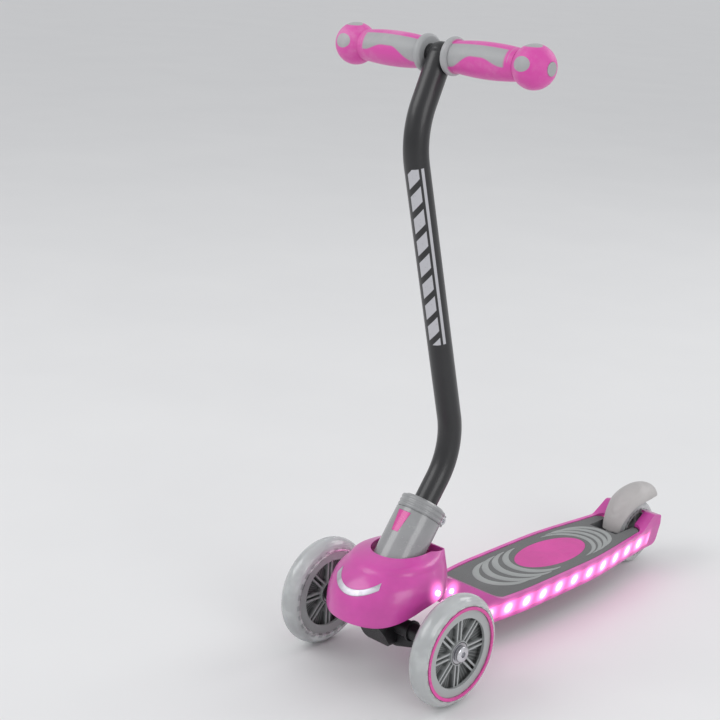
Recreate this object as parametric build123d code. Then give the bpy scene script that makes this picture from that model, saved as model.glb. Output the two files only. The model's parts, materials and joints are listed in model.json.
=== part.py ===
from build123d import *
import os
from math import cos, radians, sin

# Child's three-wheel kick scooter.
# X runs to the rider's left, Y runs to the rear and Z is up. All sizes are in mm.
# Everything is laid out from the front axle at Y = 0 with the floor at Z = 0,
# and the whole scooter is moved along Y to centre it on the origin at the end.

# ---- clearances ----
RUN = 0.05            # radial running clearance of a pin, a shaft or a bearing
SEAT = 0.2            # gap between two parts that are screwed or clipped together
FREE = 0.5            # gap that keeps a moving part off its neighbour

# ---- front wheels ----
WHEEL_R = 60.0
WHEEL_TRACK = 184.6   # between the two wheel centre planes
TYRE_W = 24.8
RIM_R = 46.5
RIM_INNER_R = 37.5
RIM_W = 21.0
TRIM_R = 50.0
TRIM_T = 1.4
HUB_R = 13.0
HUB_W = 19.0
SPOKE_PAIRS = 8
SPOKE_T = 2.0
SPOKE_GAP = 5.4
SPOKE_W = 15.0
WEB_T = 3.0
AXLE_R = 4.0
BEARING_R = 11.0
BEARING_W = 7.0
AXLE_HEAD_R = 8.5
AXLE_HEAD_T = 4.0
WASHER_T = 0.8
HEX_R = 3.4           # corner radius of the hexagon socket in a bolt head

# ---- rear wheel and its arms ----
REAR_R = 40.0
REAR_W = 24.0
REAR_RIM_R = 29.0
REAR_SPACER = 3.0

# ---- steering line: leans back, and the stem, the sleeve and the kingpin share it ----
RAKE = 36.7           # degrees from vertical
SLEEVE_Y = 16.4
SLEEVE_Z = WHEEL_R + 72.6
SLEEVE_R = 25.0
SLEEVE_L = 41.0
SLEEVE_SKIRT = 16.0   # how far the front of its wall hangs below its foot, level at its lower edge
COLLAR_R = 24.6
COLLAR_L = 16.0
COLLAR_RIDGE = 1.2
KINGPIN_R = 10.0
BUSH_T = 3.0
BUSH_FLANGE_T = 2.0
BARREL_WALL = 5.0
BARREL_TOP = -16.0    # along the steering line, from the foot of the sleeve
BARREL_BOTTOM = -56.0

# ---- stem and handlebar ----
STEM_R = 12.7
STEM_WALL = 1.5
STEM_FOOT = 6.0
LOWER_BEND = 123.2    # along the steering line, from the foot of the sleeve
UPPER_BEND_Y = -3.0
UPPER_BEND_Z = 568.0
BAR_Y = 30.0
BAR_Z = 642.5
LOWER_BEND_R = 78.0
UPPER_BEND_R = 90.0
BAR_R = 9.5
BAR_WALL = 1.5
BAR_LENGTH = 267.0
GRIP_START = STEM_R + 0.3
GRIP_END_R = 15.0
GRIP_BELLY_R = 17.3
GRIP_FLANGE_R = 18.6
GRIP_FLANGE_T = 8.0
GRIP_SKIN = 2.0
BALL_R = 21.0

# ---- deck ----
DECK_TOP = 56.0
DECK_BOTTOM = 28.0
DECK_FRONT = 135.0
DECK_LENGTH = 293.0
DECK_REAR = DECK_FRONT + DECK_LENGTH
NECK_HALF = 40.0
DECK_HALF = 50.0
TAIL_HALF = 36.0
SHELL_T = 3.0
SIDE_LEAN = 5.0       # how far the lower edge of the side wall is tucked in
RIM_LIP = 4.6
MAT_T = 3.0
CORE_INSET = 11.0
CORE_TOP_T = 4.0
RIB_T = 3.0
RIB_COUNT = 5
STRIP_BOTTOM = 33.0
STRIP_TOP = 50.0
STRIP_FRONT = 112.0
LAMP_COUNT = 11
LAMP_SIZE = 3.6
LAMP_REACH = 2.8
BOARD_T = 1.2
BADGE_HALF_W = 28.0
BADGE_HALF_L = 58.0
BADGE_T = 1.2
BADGE_Y = DECK_FRONT + DECK_LENGTH / 2 + 2.5
REAR_Y = DECK_REAR + 22.0
TAIL_Y = REAR_Y + 13.0
TAIL_TOP = 72.0
NECK_FRONT = 34.0
NECK_TOP = SLEEVE_Z - 22.6

# ---- brake ----
BRAKE_HALF_W = 19.0
BRAKE_T = 3.2
BRAKE_ARC_R = REAR_R + 21.0
BRAKE_ARC_Y = REAR_Y + 2.3
BRAKE_ARC_Z = REAR_R - 6.2
BRAKE_PIN_R = 2.5
BRAKE_PIN_Y = REAR_Y - 46.0
BRAKE_PIN_Z = DECK_TOP - 12.0
BRAKE_PAD_GAP = 3.2
BRAKE_START = 34.0    # degrees above level, at the rear tip
BRAKE_END = 158.0     # degrees, at the front of the brake

# ---- power ----
CELL_R = 5.2
CELL_L = 44.0
CELL_COUNT = 3
BUTTON_R = 5.0

# ---- truck under the head ----
TRUCK_HALF = 18.5
TRUCK_FRONT = -28.0
TRUCK_REAR = 22.0
TRUCK_BOTTOM = WHEEL_R - 23.0
TRUCK_TOP = WHEEL_R + 16.0
BEAM_R = 9.0
BEAM_END = WHEEL_TRACK / 2 - HUB_W / 2 - 0.6
TRUCK_BOSS_R = KINGPIN_R + 6
TRUCK_BOSS_TOP = BARREL_BOTTOM - BUSH_FLANGE_T - 0.4
SPRING_R = 6.0
SPRING_L = 24.0
SPRING_Y = 13.0
COVER_T = 2.5

# ---- sleeve button and collar bolt ----
RELEASE_R = 4.0
RELEASE_AT = 17.0     # along the steering line, from the foot of the sleeve
RELEASE_ANGLE = 35.0  # degrees round from the left side to the rear
EAR_HALF = 12.0
EAR_REACH = 11.0
CLAMP_BOLT_R = 2.5
CLAMP_HEAD_R = 4.2
CLAMP_HEAD_T = 4.0
PLUG_R = 6.5
PLUG_T = 4.0

# ---- hood: height above the foot of the sleeve, half width, where it is widest, front, rear, rear half ----
HOOD_T = 2.2
HOOD_LEVELS = [
    (4.9, 29.5, 19.0, -17.0, 54.5, 26.5),
    (1.4, 40.0, 12.0, -30.0, 54.4, 27.5),
    (-6.6, 47.5, 10.0, -43.0, 54.0, 30.0),
    (-14.6, 54.0, 8.0, -53.0, 53.0, 33.0),
    (-26.6, 58.0, 6.0, -62.0, 50.0, 38.0),
    (-42.6, 59.0, 3.0, -66.5, 47.0, 41.0),
    (-58.6, 56.0, 0.0, -64.0, 42.0, 42.0),
    (-68.6, 48.0, 0.0, -54.0, 38.0, 38.0),
]
LAMP_R = 2.6
HOOD_LAMP_Y = 12.0
HOOD_LAMP_Z = SLEEVE_Z - 25.9

# ---- foot mat ----
MAT_NOTCH_Y = BRAKE_PIN_Y - 12
MAT_SEAT_Z = DECK_TOP - MAT_T - 0.5
MAT_GAP = 1.1
ARC_COUNT = 4
ARC_PITCH_FRONT = 16.0
ARC_PITCH_REAR = 10.5
ARC_W = 8.5
ARC_H = 0.5

rake_sin = sin(radians(RAKE))
rake_cos = cos(radians(RAKE))


# The steering line has its own plane: X stays to the left and its Z runs up the line.
def steering_plane(along=0.0):
    foot = (0, SLEEVE_Y + along * rake_sin, SLEEVE_Z + along * rake_cos)
    return Plane(origin=foot, x_dir=(1, 0, 0), z_dir=(0, rake_sin, rake_cos))


def rod_x(radius, x0, x1, y, z):
    """A round bar along X between two places."""
    place = Plane(origin=(x0, y, z), x_dir=(0, 1, 0), z_dir=(1, 0, 0))
    return extrude(place * Circle(radius), amount=x1 - x0)


def ring_x(outer, inner, x0, x1, y, z):
    """A tube along X between two places."""
    return rod_x(outer, x0, x1, y, z) - rod_x(inner, x0, x1, y, z)


def rod_line(radius, start, end):
    """A round bar along the steering line."""
    return extrude(steering_plane(start) * Circle(radius), amount=end - start)


def ring_line(outer, inner, start, end):
    """A tube along the steering line."""
    return rod_line(outer, start, end) - rod_line(inner, start, end)


def block(x0, x1, y0, y1, z0, z1):
    """A box between two corners."""
    size = (x1 - x0, y1 - y0, z1 - z0)
    return Pos((x0 + x1) / 2, (y0 + y1) / 2, (z0 + z1) / 2) * Box(*size)


def yz_prism(points):
    """A wide prism along X over a closed outline in Y and Z."""
    return extrude(Plane.YZ * make_face(Polyline(*points, close=True)), amount=100, both=True)


def both_sides(shape):
    """The same piece and its mirror image, kept apart as left and right."""
    return shape, mirror(shape, about=Plane.YZ)


# ---------------------------------------------------------------- front wheels
def wheel_tyre():
    """Soft clear tyre, round outside, seated on the rim and stepped for the trim ring."""
    crown = TYRE_W / 2
    profile = Plane.XZ * (Pos(0, WHEEL_R - crown) * Circle(crown))
    profile += Plane.XZ * (Pos(0, (WHEEL_R - crown + RIM_R) / 2) * Rectangle(
        TYRE_W, WHEEL_R - crown - RIM_R))
    profile -= Plane.XZ * (Pos(0, RIM_R / 2) * Rectangle(2 * TYRE_W, RIM_R))
    tyre = revolve(profile, axis=Axis.X, revolution_arc=360)
    step = ring_x(TRIM_R + SEAT, RIM_R - 1, TYRE_W / 2 - TRIM_T - SEAT, TYRE_W, 0, 0)
    return tyre - step


def wheel_hub():
    """Rim, web, hub and spokes in pairs, one casting."""
    hub = ring_x(RIM_R, RIM_R - 3, -RIM_W / 2, RIM_W / 2, 0, 0)
    hub += ring_x(RIM_R - 1, RIM_INNER_R, RIM_W / 2 - 3, RIM_W / 2, 0, 0)
    hub += ring_x(RIM_R - 1, RIM_INNER_R, -RIM_W / 2, 3 - RIM_W / 2, 0, 0)
    hub += rod_x(RIM_R - 1, -WEB_T / 2, WEB_T / 2, 0, 0)
    hub += rod_x(HUB_R, -HUB_W / 2, HUB_W / 2, 0, 0)
    for number in range(SPOKE_PAIRS):
        for side in (-1, 1):
            offset_y = side * SPOKE_GAP / 2
            spoke = block(-SPOKE_W / 2, SPOKE_W / 2, offset_y - SPOKE_T / 2,
                          offset_y + SPOKE_T / 2, HUB_R - 2, RIM_R - 2)
            hub += Rot(360 / SPOKE_PAIRS * number, 0, 0) * spoke
    hub -= rod_x(AXLE_R + 2, -HUB_W, HUB_W, 0, 0)
    for side in (-1, 1):
        seat_end = side * HUB_W
        seat_start = side * (HUB_W / 2 - BEARING_W)
        hub -= rod_x(BEARING_R + RUN, min(seat_start, seat_end), max(seat_start, seat_end), 0, 0)
    return hub


def wheel_trim():
    """Thin coloured ring on the outer face of the tyre."""
    outer = TYRE_W / 2
    return ring_x(TRIM_R, RIM_R + SEAT, outer - TRIM_T, outer, 0, 0)


def wheel_bearings():
    """A ball bearing in each side of the hub."""
    inner = ring_x(BEARING_R, AXLE_R + RUN, HUB_W / 2 - BEARING_W + RUN, HUB_W / 2, 0, 0)
    outer = ring_x(BEARING_R, AXLE_R + RUN, -HUB_W / 2, BEARING_W - RUN - HUB_W / 2, 0, 0)
    return Compound([inner, outer])


def on_left_wheel(shape):
    return Pos(WHEEL_TRACK / 2, 0, WHEEL_R) * shape


def axle_bolt():
    """Domed bolt head with a hexagon socket, screwed on the end of the axle."""
    start = WHEEL_TRACK / 2 + HUB_W / 2 + WASHER_T + 0.1
    head = rod_x(AXLE_HEAD_R, start, start + AXLE_HEAD_T, 0, WHEEL_R)
    rim_edge = head.edges().filter_by(GeomType.CIRCLE).sort_by(Axis.X)[-1]
    head = fillet(rim_edge, AXLE_HEAD_T * 0.4)
    face = Plane(origin=(start + AXLE_HEAD_T, 0, WHEEL_R), x_dir=(0, 1, 0), z_dir=(1, 0, 0))
    return head - extrude(face * RegularPolygon(HEX_R, 6), amount=-AXLE_HEAD_T * 0.7)


def axle_washer():
    start = WHEEL_TRACK / 2 + HUB_W / 2 + 0.1
    return ring_x(AXLE_R + 3, AXLE_R + RUN, start, start + WASHER_T, 0, WHEEL_R)


def front_axle():
    """Steel rod right through the truck that carries both wheels."""
    end = WHEEL_TRACK / 2 + HUB_W / 2 + WASHER_T + 0.1
    return rod_x(AXLE_R, -end, end, 0, WHEEL_R)


# ---------------------------------------------------------------- truck
def truck():
    """Moulded T: a block that hangs below the head and a ribbed beam to each wheel."""
    body = block(-TRUCK_HALF, TRUCK_HALF, TRUCK_FRONT, TRUCK_REAR, TRUCK_BOTTOM, TRUCK_TOP)
    upright = body.edges().filter_by(Axis.Z)
    body = fillet(upright, 9)
    body = fillet(body.faces().sort_by(Axis.Z)[0].edges(), 6)
    top_cut = extrude(steering_plane(TRUCK_BOSS_TOP - 6) * Rectangle(200, 200), amount=60)
    body -= top_cut
    body -= truck_chin()
    body += rod_line(TRUCK_BOSS_R, TRUCK_BOSS_TOP - 14, TRUCK_BOSS_TOP)
    beam = rod_x(BEAM_R, -BEAM_END, BEAM_END, 0, WHEEL_R)
    root = WHEEL_R - 24
    tip, tip_low = BEAM_END - 6, WHEEL_R - BEAM_R + 2
    gusset = [(-tip, WHEEL_R), (-tip, tip_low), (-TRUCK_HALF + 1, root),
              (TRUCK_HALF - 1, root), (tip, tip_low), (tip, WHEEL_R)]
    web = extrude(Plane.XZ * make_face(Polyline(*gusset, close=True)), amount=2, both=True)
    body += beam + web
    for side in (-1, 1):
        for share in (0.45, 0.62, 0.79):
            rib = rod_x(BEAM_R + 2, side * BEAM_END * share - 1.5,
                        side * BEAM_END * share + 1.5, 0, WHEEL_R)
            body += rib
    body -= rod_x(AXLE_R + RUN, -BEAM_END - 1, BEAM_END + 1, 0, WHEEL_R)
    body -= rod_line(KINGPIN_R + RUN, TRUCK_BOSS_TOP - 12, TRUCK_BOSS_TOP + 1)
    for x in spring_places():
        body -= Pos(x, SPRING_Y, TRUCK_BOTTOM) * Cylinder(
            SPRING_R + SEAT, SPRING_L, align=(Align.CENTER, Align.CENTER, Align.MIN))
    body -= cover_recess(SEAT)
    return body


def truck_chin():
    """Wedge cut from the lower front of the block, so that it slopes back under the hood."""
    low, high = TRUCK_BOTTOM, TRUCK_BOTTOM + 27
    front = TRUCK_FRONT
    return yz_prism([(front - 9, high), (front, high), (front + 17, low), (front + 17, low - 9),
                     (front - 9, low - 9)])


def spring_places():
    return (-9.5, 9.5)


def cover_recess(gap):
    """Flat pocket in the foot of the truck, and with no gap the cover that fills it."""
    half = TRUCK_HALF - 3
    return block(-half - gap, half + gap, SPRING_Y - 9 - gap, SPRING_Y + 9 + gap,
                 TRUCK_BOTTOM, TRUCK_BOTTOM + COVER_T + (SEAT if gap else 0))


def centring_springs():
    """Two rubber springs that bring the steering back to straight ahead."""
    start = TRUCK_BOTTOM + COVER_T + SEAT
    return Compound([
        Pos(x, SPRING_Y, start) * Cylinder(SPRING_R, SPRING_L - COVER_T - 2 * SEAT,
                                           align=(Align.CENTER, Align.CENTER, Align.MIN))
        for x in spring_places()])


def steering_column():
    """Steel kingpin with a wide foot in the truck and its head in the sleeve."""
    return rod_line(KINGPIN_R, TRUCK_BOSS_TOP - 11.8, STEM_FOOT - 1)


# ---------------------------------------------------------------- stem, sleeve, collar
def steering_sleeve():
    """Smooth grey sleeve around the foot of the stem."""
    sleeve = rod_line(SLEEVE_R, 0, SLEEVE_L)
    low = SLEEVE_Z - 9.0
    skirt = ring_line(SLEEVE_R, KINGPIN_R + 11, -SLEEVE_SKIRT, 6)
    sleeve += skirt - block(-60, 60, SLEEVE_Y - 60, SLEEVE_Y + 60, low - 60, low)
    sleeve += rod_line(KINGPIN_R + 6, BARREL_TOP + BUSH_FLANGE_T + 0.3, 6)
    sleeve -= rod_line(STEM_R + RUN, STEM_FOOT - 0.2, SLEEVE_L + 1)
    sleeve -= rod_line(KINGPIN_R + RUN, BARREL_TOP - 1, STEM_FOOT)
    return sleeve - accent_solid(SEAT) - release_pocket(SEAT)


def steering_axis():
    return Axis((0, SLEEVE_Y, SLEEVE_Z), (0, rake_sin, rake_cos))


def accent_solid(gap):
    """Front inlay of the sleeve: a tapered band that lies in the front of its wall."""
    low, high = 14 - gap, SLEEVE_L - 4 + gap
    corners = [(-4 - gap, low), (4 + gap, low), (8 + gap, high), (-8 - gap, high)]
    outline = make_face(Polyline(*corners, close=True))
    front = steering_plane()
    sketch = Plane(origin=front.origin, x_dir=(1, 0, 0), z_dir=-front.y_dir)
    wedge = extrude(sketch * outline, amount=SLEEVE_R * 2)
    band = ring_line(SLEEVE_R + (1 if gap else 0), SLEEVE_R - 2 - gap, 0, SLEEVE_L)
    return wedge & band


def release_place(depth):
    """Where the stem's release button shows in the left rear of the sleeve."""
    plane = steering_plane(RELEASE_AT)
    outward = plane.x_dir * cos(radians(RELEASE_ANGLE)) + plane.y_dir * sin(radians(RELEASE_ANGLE))
    return Plane(origin=plane.origin + outward * depth, x_dir=plane.z_dir, z_dir=outward)


def release_pocket(gap):
    return extrude(release_place(STEM_R + 1) * Circle(RELEASE_R + gap), amount=SLEEVE_R)


def release_button():
    """Sprung button that holds the stem in the sleeve; it is pressed to lift the stem out."""
    button = extrude(release_place(STEM_R + 3) * Circle(RELEASE_R), amount=SLEEVE_R - STEM_R - 3.4)
    return button


def clamp_collar():
    """Ridged ring that closes on the top of the sleeve, with ears for its bolt."""
    start = SLEEVE_L + SEAT
    ring = rod_line(COLLAR_R - COLLAR_RIDGE, start, start + COLLAR_L)
    ridge_pitch = COLLAR_L / 4
    for number in range(3):
        place = start + ridge_pitch * (number + 0.25)
        ring += rod_line(COLLAR_R, place, place + ridge_pitch * 0.55)
    top_edge = ring.edges().filter_by(GeomType.CIRCLE).sort_by(steering_axis())[-1]
    ring = chamfer(top_edge, 2.4)
    plane = steering_plane(start)
    ears = plane * (Pos(0, COLLAR_R - 1, COLLAR_L / 2) * Box(EAR_HALF * 2, EAR_REACH, COLLAR_L * 0.8))
    ring += ears
    ring -= rod_line(STEM_R + RUN, start - 1, start + COLLAR_L + 1)
    ring -= plane * (Pos(0, STEM_R + 12, COLLAR_L / 2) * Box(1.6, 24, COLLAR_L * 2))
    ring -= clamp_rod(CLAMP_BOLT_R + RUN, -EAR_HALF - 1, EAR_HALF + 1)
    ring -= clamp_rod(CLAMP_HEAD_R + SEAT, EAR_HALF - CLAMP_HEAD_T * 0.5, EAR_HALF + 5)
    return ring - clamp_rod(CLAMP_HEAD_R + SEAT, -EAR_HALF - 5, CLAMP_HEAD_T * 0.5 - EAR_HALF)


def clamp_rod(radius, x0, x1):
    """A bar across the collar's ears."""
    plane = steering_plane(SLEEVE_L + SEAT + COLLAR_L / 2)
    centre = plane.origin + plane.y_dir * (COLLAR_R + EAR_REACH / 2 - 5.5)
    return rod_x(radius, x0, x1, centre.Y, centre.Z)


def clamp_bolt():
    """Socket bolt through both ears."""
    head_start = EAR_HALF - CLAMP_HEAD_T * 0.5 + 0.1
    bolt = clamp_rod(CLAMP_BOLT_R, CLAMP_HEAD_T * 0.5 - EAR_HALF + 0.2, head_start)
    bolt += clamp_rod(CLAMP_HEAD_R, head_start, head_start + CLAMP_HEAD_T)
    socket = clamp_rod(CLAMP_HEAD_R * 0.55, head_start + CLAMP_HEAD_T * 0.4, head_start + CLAMP_HEAD_T + 1)
    return bolt - socket


def clamp_nut():
    start = CLAMP_HEAD_T * 0.5 - EAR_HALF - 0.1
    return clamp_rod(CLAMP_HEAD_R, start - 3, start) - clamp_rod(CLAMP_BOLT_R + RUN, start - 4, start + 1)


def stem_path():
    foot = steering_plane(STEM_FOOT).origin
    bend = steering_plane(LOWER_BEND).origin
    points = [tuple(foot), tuple(bend), (0, UPPER_BEND_Y, UPPER_BEND_Z), (0, BAR_Y, BAR_Z)]
    return FilletPolyline(*points, radius=[LOWER_BEND_R, UPPER_BEND_R])


def stem():
    """S-bent tube from the sleeve up to the handlebar, notched to fit the bar."""
    path = stem_path()
    start = Plane(origin=path @ 0, z_dir=path % 0)
    tube = sweep(start * Circle(STEM_R), path=path) + on_bar(Sphere(STEM_R))
    tube -= sweep(start * Circle(STEM_R - STEM_WALL), path=path)
    return tube - rod_x(BAR_R + RUN, -BAR_LENGTH, BAR_LENGTH, BAR_Y, BAR_Z)


def crossbar():
    half = BAR_LENGTH / 2 - BALL_R * 0.6
    return ring_x(BAR_R, BAR_R - BAR_WALL, -half, half, BAR_Y, BAR_Z)


def grip_body(skin):
    """Left grip as a turned shape: flange, belly and ball end, less a skin."""
    ball_x = BAR_LENGTH / 2 - BALL_R
    start = GRIP_START
    flange_end = start + GRIP_FLANGE_T
    neck = ball_x - BALL_R * 0.72
    belly = Spline((flange_end, GRIP_END_R - skin), ((flange_end + neck) / 2 - 6, GRIP_BELLY_R - skin),
                   (neck, GRIP_END_R - skin))
    outline = [Line((start, 0), (start, GRIP_END_R - skin)),
               Line((start, GRIP_END_R - skin), (flange_end, GRIP_END_R - skin)),
               belly, Line((neck, GRIP_END_R - skin), (neck, 0)), Line((neck, 0), (start, 0))]
    handle = revolve(Plane.XZ * make_face(outline), axis=Axis.X, revolution_arc=360)
    ball = Pos(ball_x, 0, 0) * Sphere(BALL_R - skin)
    return handle + ball


def grip_windows():
    """Wavy openings of the coloured skin where the grey inside of the grip shows."""
    ball_x = BAR_LENGTH / 2 - BALL_R
    start = GRIP_START + GRIP_FLANGE_T
    end = ball_x - BALL_R * 0.95
    length = end - start
    upper = Spline((start - 1, 9), (start + length * 0.4, 5), (end, 8))
    lower = Spline((start - 1, -7), (start + length * 0.4, -4), (end, -11))
    outline = [upper, Line(upper @ 1, lower @ 1), lower, Line(lower @ 0, upper @ 0)]
    toward = Plane(origin=(0, 0, 0), x_dir=(1, 0, 0), z_dir=(0, -0.6, 0.8))
    window = extrude(toward * make_face(outline), amount=BALL_R * 2)
    for slope in (80, 10):
        look = Plane(origin=(ball_x, 0, 0), x_dir=(1, 0, 0),
                     z_dir=(0, -cos(radians(slope)), sin(radians(slope))))
        window += extrude(look * Ellipse(9, 7), amount=BALL_R * 2)
    return window


def on_bar(shape):
    return Pos(0, BAR_Y, BAR_Z) * shape


def grip_core():
    """Firm grey inner grip with its flange; it fills the openings of the soft skin."""
    core = grip_body(GRIP_SKIN) + (grip_body(0) & grip_windows())
    flange = rod_x(GRIP_FLANGE_R, GRIP_START, GRIP_START + GRIP_FLANGE_T - SEAT, 0, 0)
    flange = fillet(flange.edges().filter_by(GeomType.CIRCLE), 3.4)
    core += flange
    core -= rod_x(BAR_R + RUN, 0, BAR_LENGTH / 2 - BALL_R * 0.6 + 0.2, 0, 0)
    return on_bar(core - plug_rod(SEAT))


def grip_shell():
    """Soft coloured skin over the grip and its ball end."""
    skin = grip_body(0) - grip_body(GRIP_SKIN) - grip_windows()
    skin -= rod_x(GRIP_FLANGE_R + 2, 0, GRIP_START + GRIP_FLANGE_T, 0, 0)
    return on_bar(skin - plug_rod(SEAT))


def plug_rod(gap):
    end = BAR_LENGTH / 2
    return rod_x(PLUG_R + gap, end - PLUG_T - gap, end + (5 if gap else -0.6), 0, 0)


# ---------------------------------------------------------------- deck
def half_width(y):
    """Half width of the deck at its top edge: a neck, a wide standing part and a slim tail."""
    widen_start, widen_end = NECK_FRONT + 26, DECK_FRONT + 65
    narrow_start, narrow_end = (DECK_FRONT + DECK_REAR) / 2 + 10, TAIL_Y
    share = min(max((y - widen_start) / (widen_end - widen_start), 0), 1)
    width = NECK_HALF + (DECK_HALF - NECK_HALF) * share * share * (3 - 2 * share)
    share = min(max((y - narrow_start) / (narrow_end - narrow_start), 0), 1)
    return width - (DECK_HALF - TAIL_HALF) * share * share * (3 - 2 * share)


def plan_face(inset, y0, y1, z):
    """Plan outline of the deck between two places, with its sides moved in by the inset."""
    count = max(int((y1 - y0) / 24), 3)
    places = [y0 + (y1 - y0) * n / count for n in range(count + 1)]
    left = Spline(*[(half_width(y) - inset, y) for y in places])
    right = Spline(*[(inset - half_width(y), y) for y in places])
    ends = [Line(left @ 1, right @ 1), Line(right @ 0, left @ 0)]
    return Pos(0, 0, z) * make_face([left, ends[0], right, ends[1]])


def plan_body(inset, y0, y1):
    """Side walls of the deck: upright above its top edge and leaning in below it."""
    low = DECK_BOTTOM - 8
    lean = SIDE_LEAN * (DECK_TOP - low) / (DECK_TOP - DECK_BOTTOM)
    lower = loft([plan_face(inset + lean, y0, y1, low), plan_face(inset, y0, y1, DECK_TOP)], ruled=True)
    upper = extrude(plan_face(inset, y0, y1, DECK_TOP), amount=NECK_TOP + 20 - DECK_TOP)
    return lower + upper


def deck_side(inset):
    """Side view of the deck: neck, standing part and raised tail."""
    points = [(NECK_FRONT, NECK_TOP + 3), (NECK_FRONT + 24, NECK_TOP - 8), (DECK_FRONT + 2, DECK_TOP),
              (DECK_REAR - 6, DECK_TOP), (TAIL_Y - 16, TAIL_TOP), (TAIL_Y, TAIL_TOP - 4),
              (TAIL_Y - 1, DECK_BOTTOM), (DECK_FRONT - 10, DECK_BOTTOM), (NECK_FRONT + 42, DECK_TOP + 4),
              (NECK_FRONT, NECK_TOP - 26)]
    radii = [0, 30, 40, 12, 8, 4, 8, 30, 30, 0]
    outline = make_face(FilletPolyline(*points, radius=radii, close=True))
    if inset:
        outline = offset(outline, amount=-inset, kind=Kind.INTERSECTION)
    return extrude(Plane.YZ * outline, amount=DECK_HALF + 20, both=True)


def wheel_well():
    """Room for the rear wheel between the two arms."""
    half = well_half()
    return block(-half, half, REAR_Y - REAR_R - 8, TAIL_Y + 30, 0, 200)


def mat_outline(inset, z, height):
    """The mat's plan with round corners and a notch for the brake."""
    face = plan_face(RIM_LIP + inset, DECK_FRONT + inset, DECK_REAR - inset, z)
    face = fillet(face.vertices(), 11)
    body = extrude(face, amount=height)
    notch_half = BRAKE_HALF_W + 2 - inset
    return body - block(-notch_half, notch_half, MAT_NOTCH_Y - inset, DECK_REAR + 20, z - 1, z + height + 1)


def deck_shell():
    """Thin coloured skirt: side walls, a rim round the mat, the neck and the tail arms."""
    shell = plan_body(0, NECK_FRONT, TAIL_Y) & deck_side(0)
    inner = plan_body(SHELL_T, NECK_FRONT - 20, TAIL_Y - SHELL_T) & deck_side(SHELL_T)
    drop = plan_body(SHELL_T, DECK_FRONT, DECK_REAR - 30) & block(
        -100, 100, DECK_FRONT, DECK_REAR - 30, DECK_BOTTOM - 10, DECK_TOP - SHELL_T)
    mouth = plan_body(SHELL_T, NECK_FRONT - 20, NECK_FRONT + 8) & block(
        -100, 100, NECK_FRONT - 20, NECK_FRONT + 8, NECK_TOP - 40, NECK_TOP - 4)
    shell -= inner + drop
    shell -= mouth
    shell -= mat_outline(0, MAT_SEAT_Z - 8, 40)
    shell -= notch_block()
    shell -= wheel_well()
    shell -= strip_window(0)
    for hole in both_sides(neck_lamp(LAMP_R + SEAT, -12, 4)):
        shell -= hole
    return shell


def notch_block():
    """Opening behind the mat that the brake rises through."""
    half = BRAKE_HALF_W + 2
    return block(-half, half, MAT_NOTCH_Y, REAR_Y, DECK_BOTTOM - 2, 200)


def strip_window(gap):
    """The band of the side wall that is clear for the lamps, on both sides."""
    front, rear = STRIP_FRONT + gap, strip_rear() - gap
    inside = TAIL_HALF - 14
    band = block(-100, 100, front, rear, STRIP_BOTTOM + gap, STRIP_TOP - gap)
    return band - block(-inside, inside, 0, 600, 0, 100)


def strip_rear():
    return DECK_REAR + 14


def light_strip():
    """Clear coloured window in the left side wall."""
    wall = plan_body(0, NECK_FRONT, TAIL_Y) - plan_body(SHELL_T, NECK_FRONT - 20, TAIL_Y + 10)
    strip = wall & strip_window(SEAT)
    return strip & block(0, 100, 0, 600, 0, 100)


def lamp_places():
    first, last = STRIP_FRONT + 10, strip_rear() - 24
    return [first + (last - first) * n / (LAMP_COUNT - 1) for n in range(LAMP_COUNT)]


def led_board():
    """Circuit strip behind the left window with a row of lamps on it."""
    inset = SHELL_T + LAMP_REACH + FREE
    front, rear = STRIP_FRONT + 4, lamp_places()[-1] + 5
    band = plan_body(inset, front, rear) - plan_body(inset + BOARD_T, front - 5, rear + 5)
    middle = (STRIP_BOTTOM + STRIP_TOP) / 2
    board = band & block(0, 100, front, rear, middle - 4, middle + 4)
    for y in lamp_places():
        lean = SIDE_LEAN * (DECK_TOP - middle) / (DECK_TOP - DECK_BOTTOM)
        face = half_width(y) - inset - lean
        half = LAMP_SIZE / 2
        board += block(face - 0.7, face + LAMP_REACH, y - half, y + half, middle - half, middle + half)
    return board


def neck_lamp(radius, inner, outer):
    """Round lamp, or its hole, in the left wall of the neck."""
    return rod_x(radius, NECK_HALF + inner, NECK_HALF + outer, NECK_FRONT + 22, NECK_TOP - 21)


def hood_lamp(radius, inner, outer):
    """Round lamp, or its hole, in the left wall of the hood."""
    side = HOOD_LEVELS[4][1] - 1
    return rod_x(radius, side + inner, side + outer, HOOD_LAMP_Y, HOOD_LAMP_Z)


def pair(shape):
    """A left piece and its mirror image in one group."""
    return Compound([solid for piece in both_sides(shape) for solid in piece.solids()])


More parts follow.
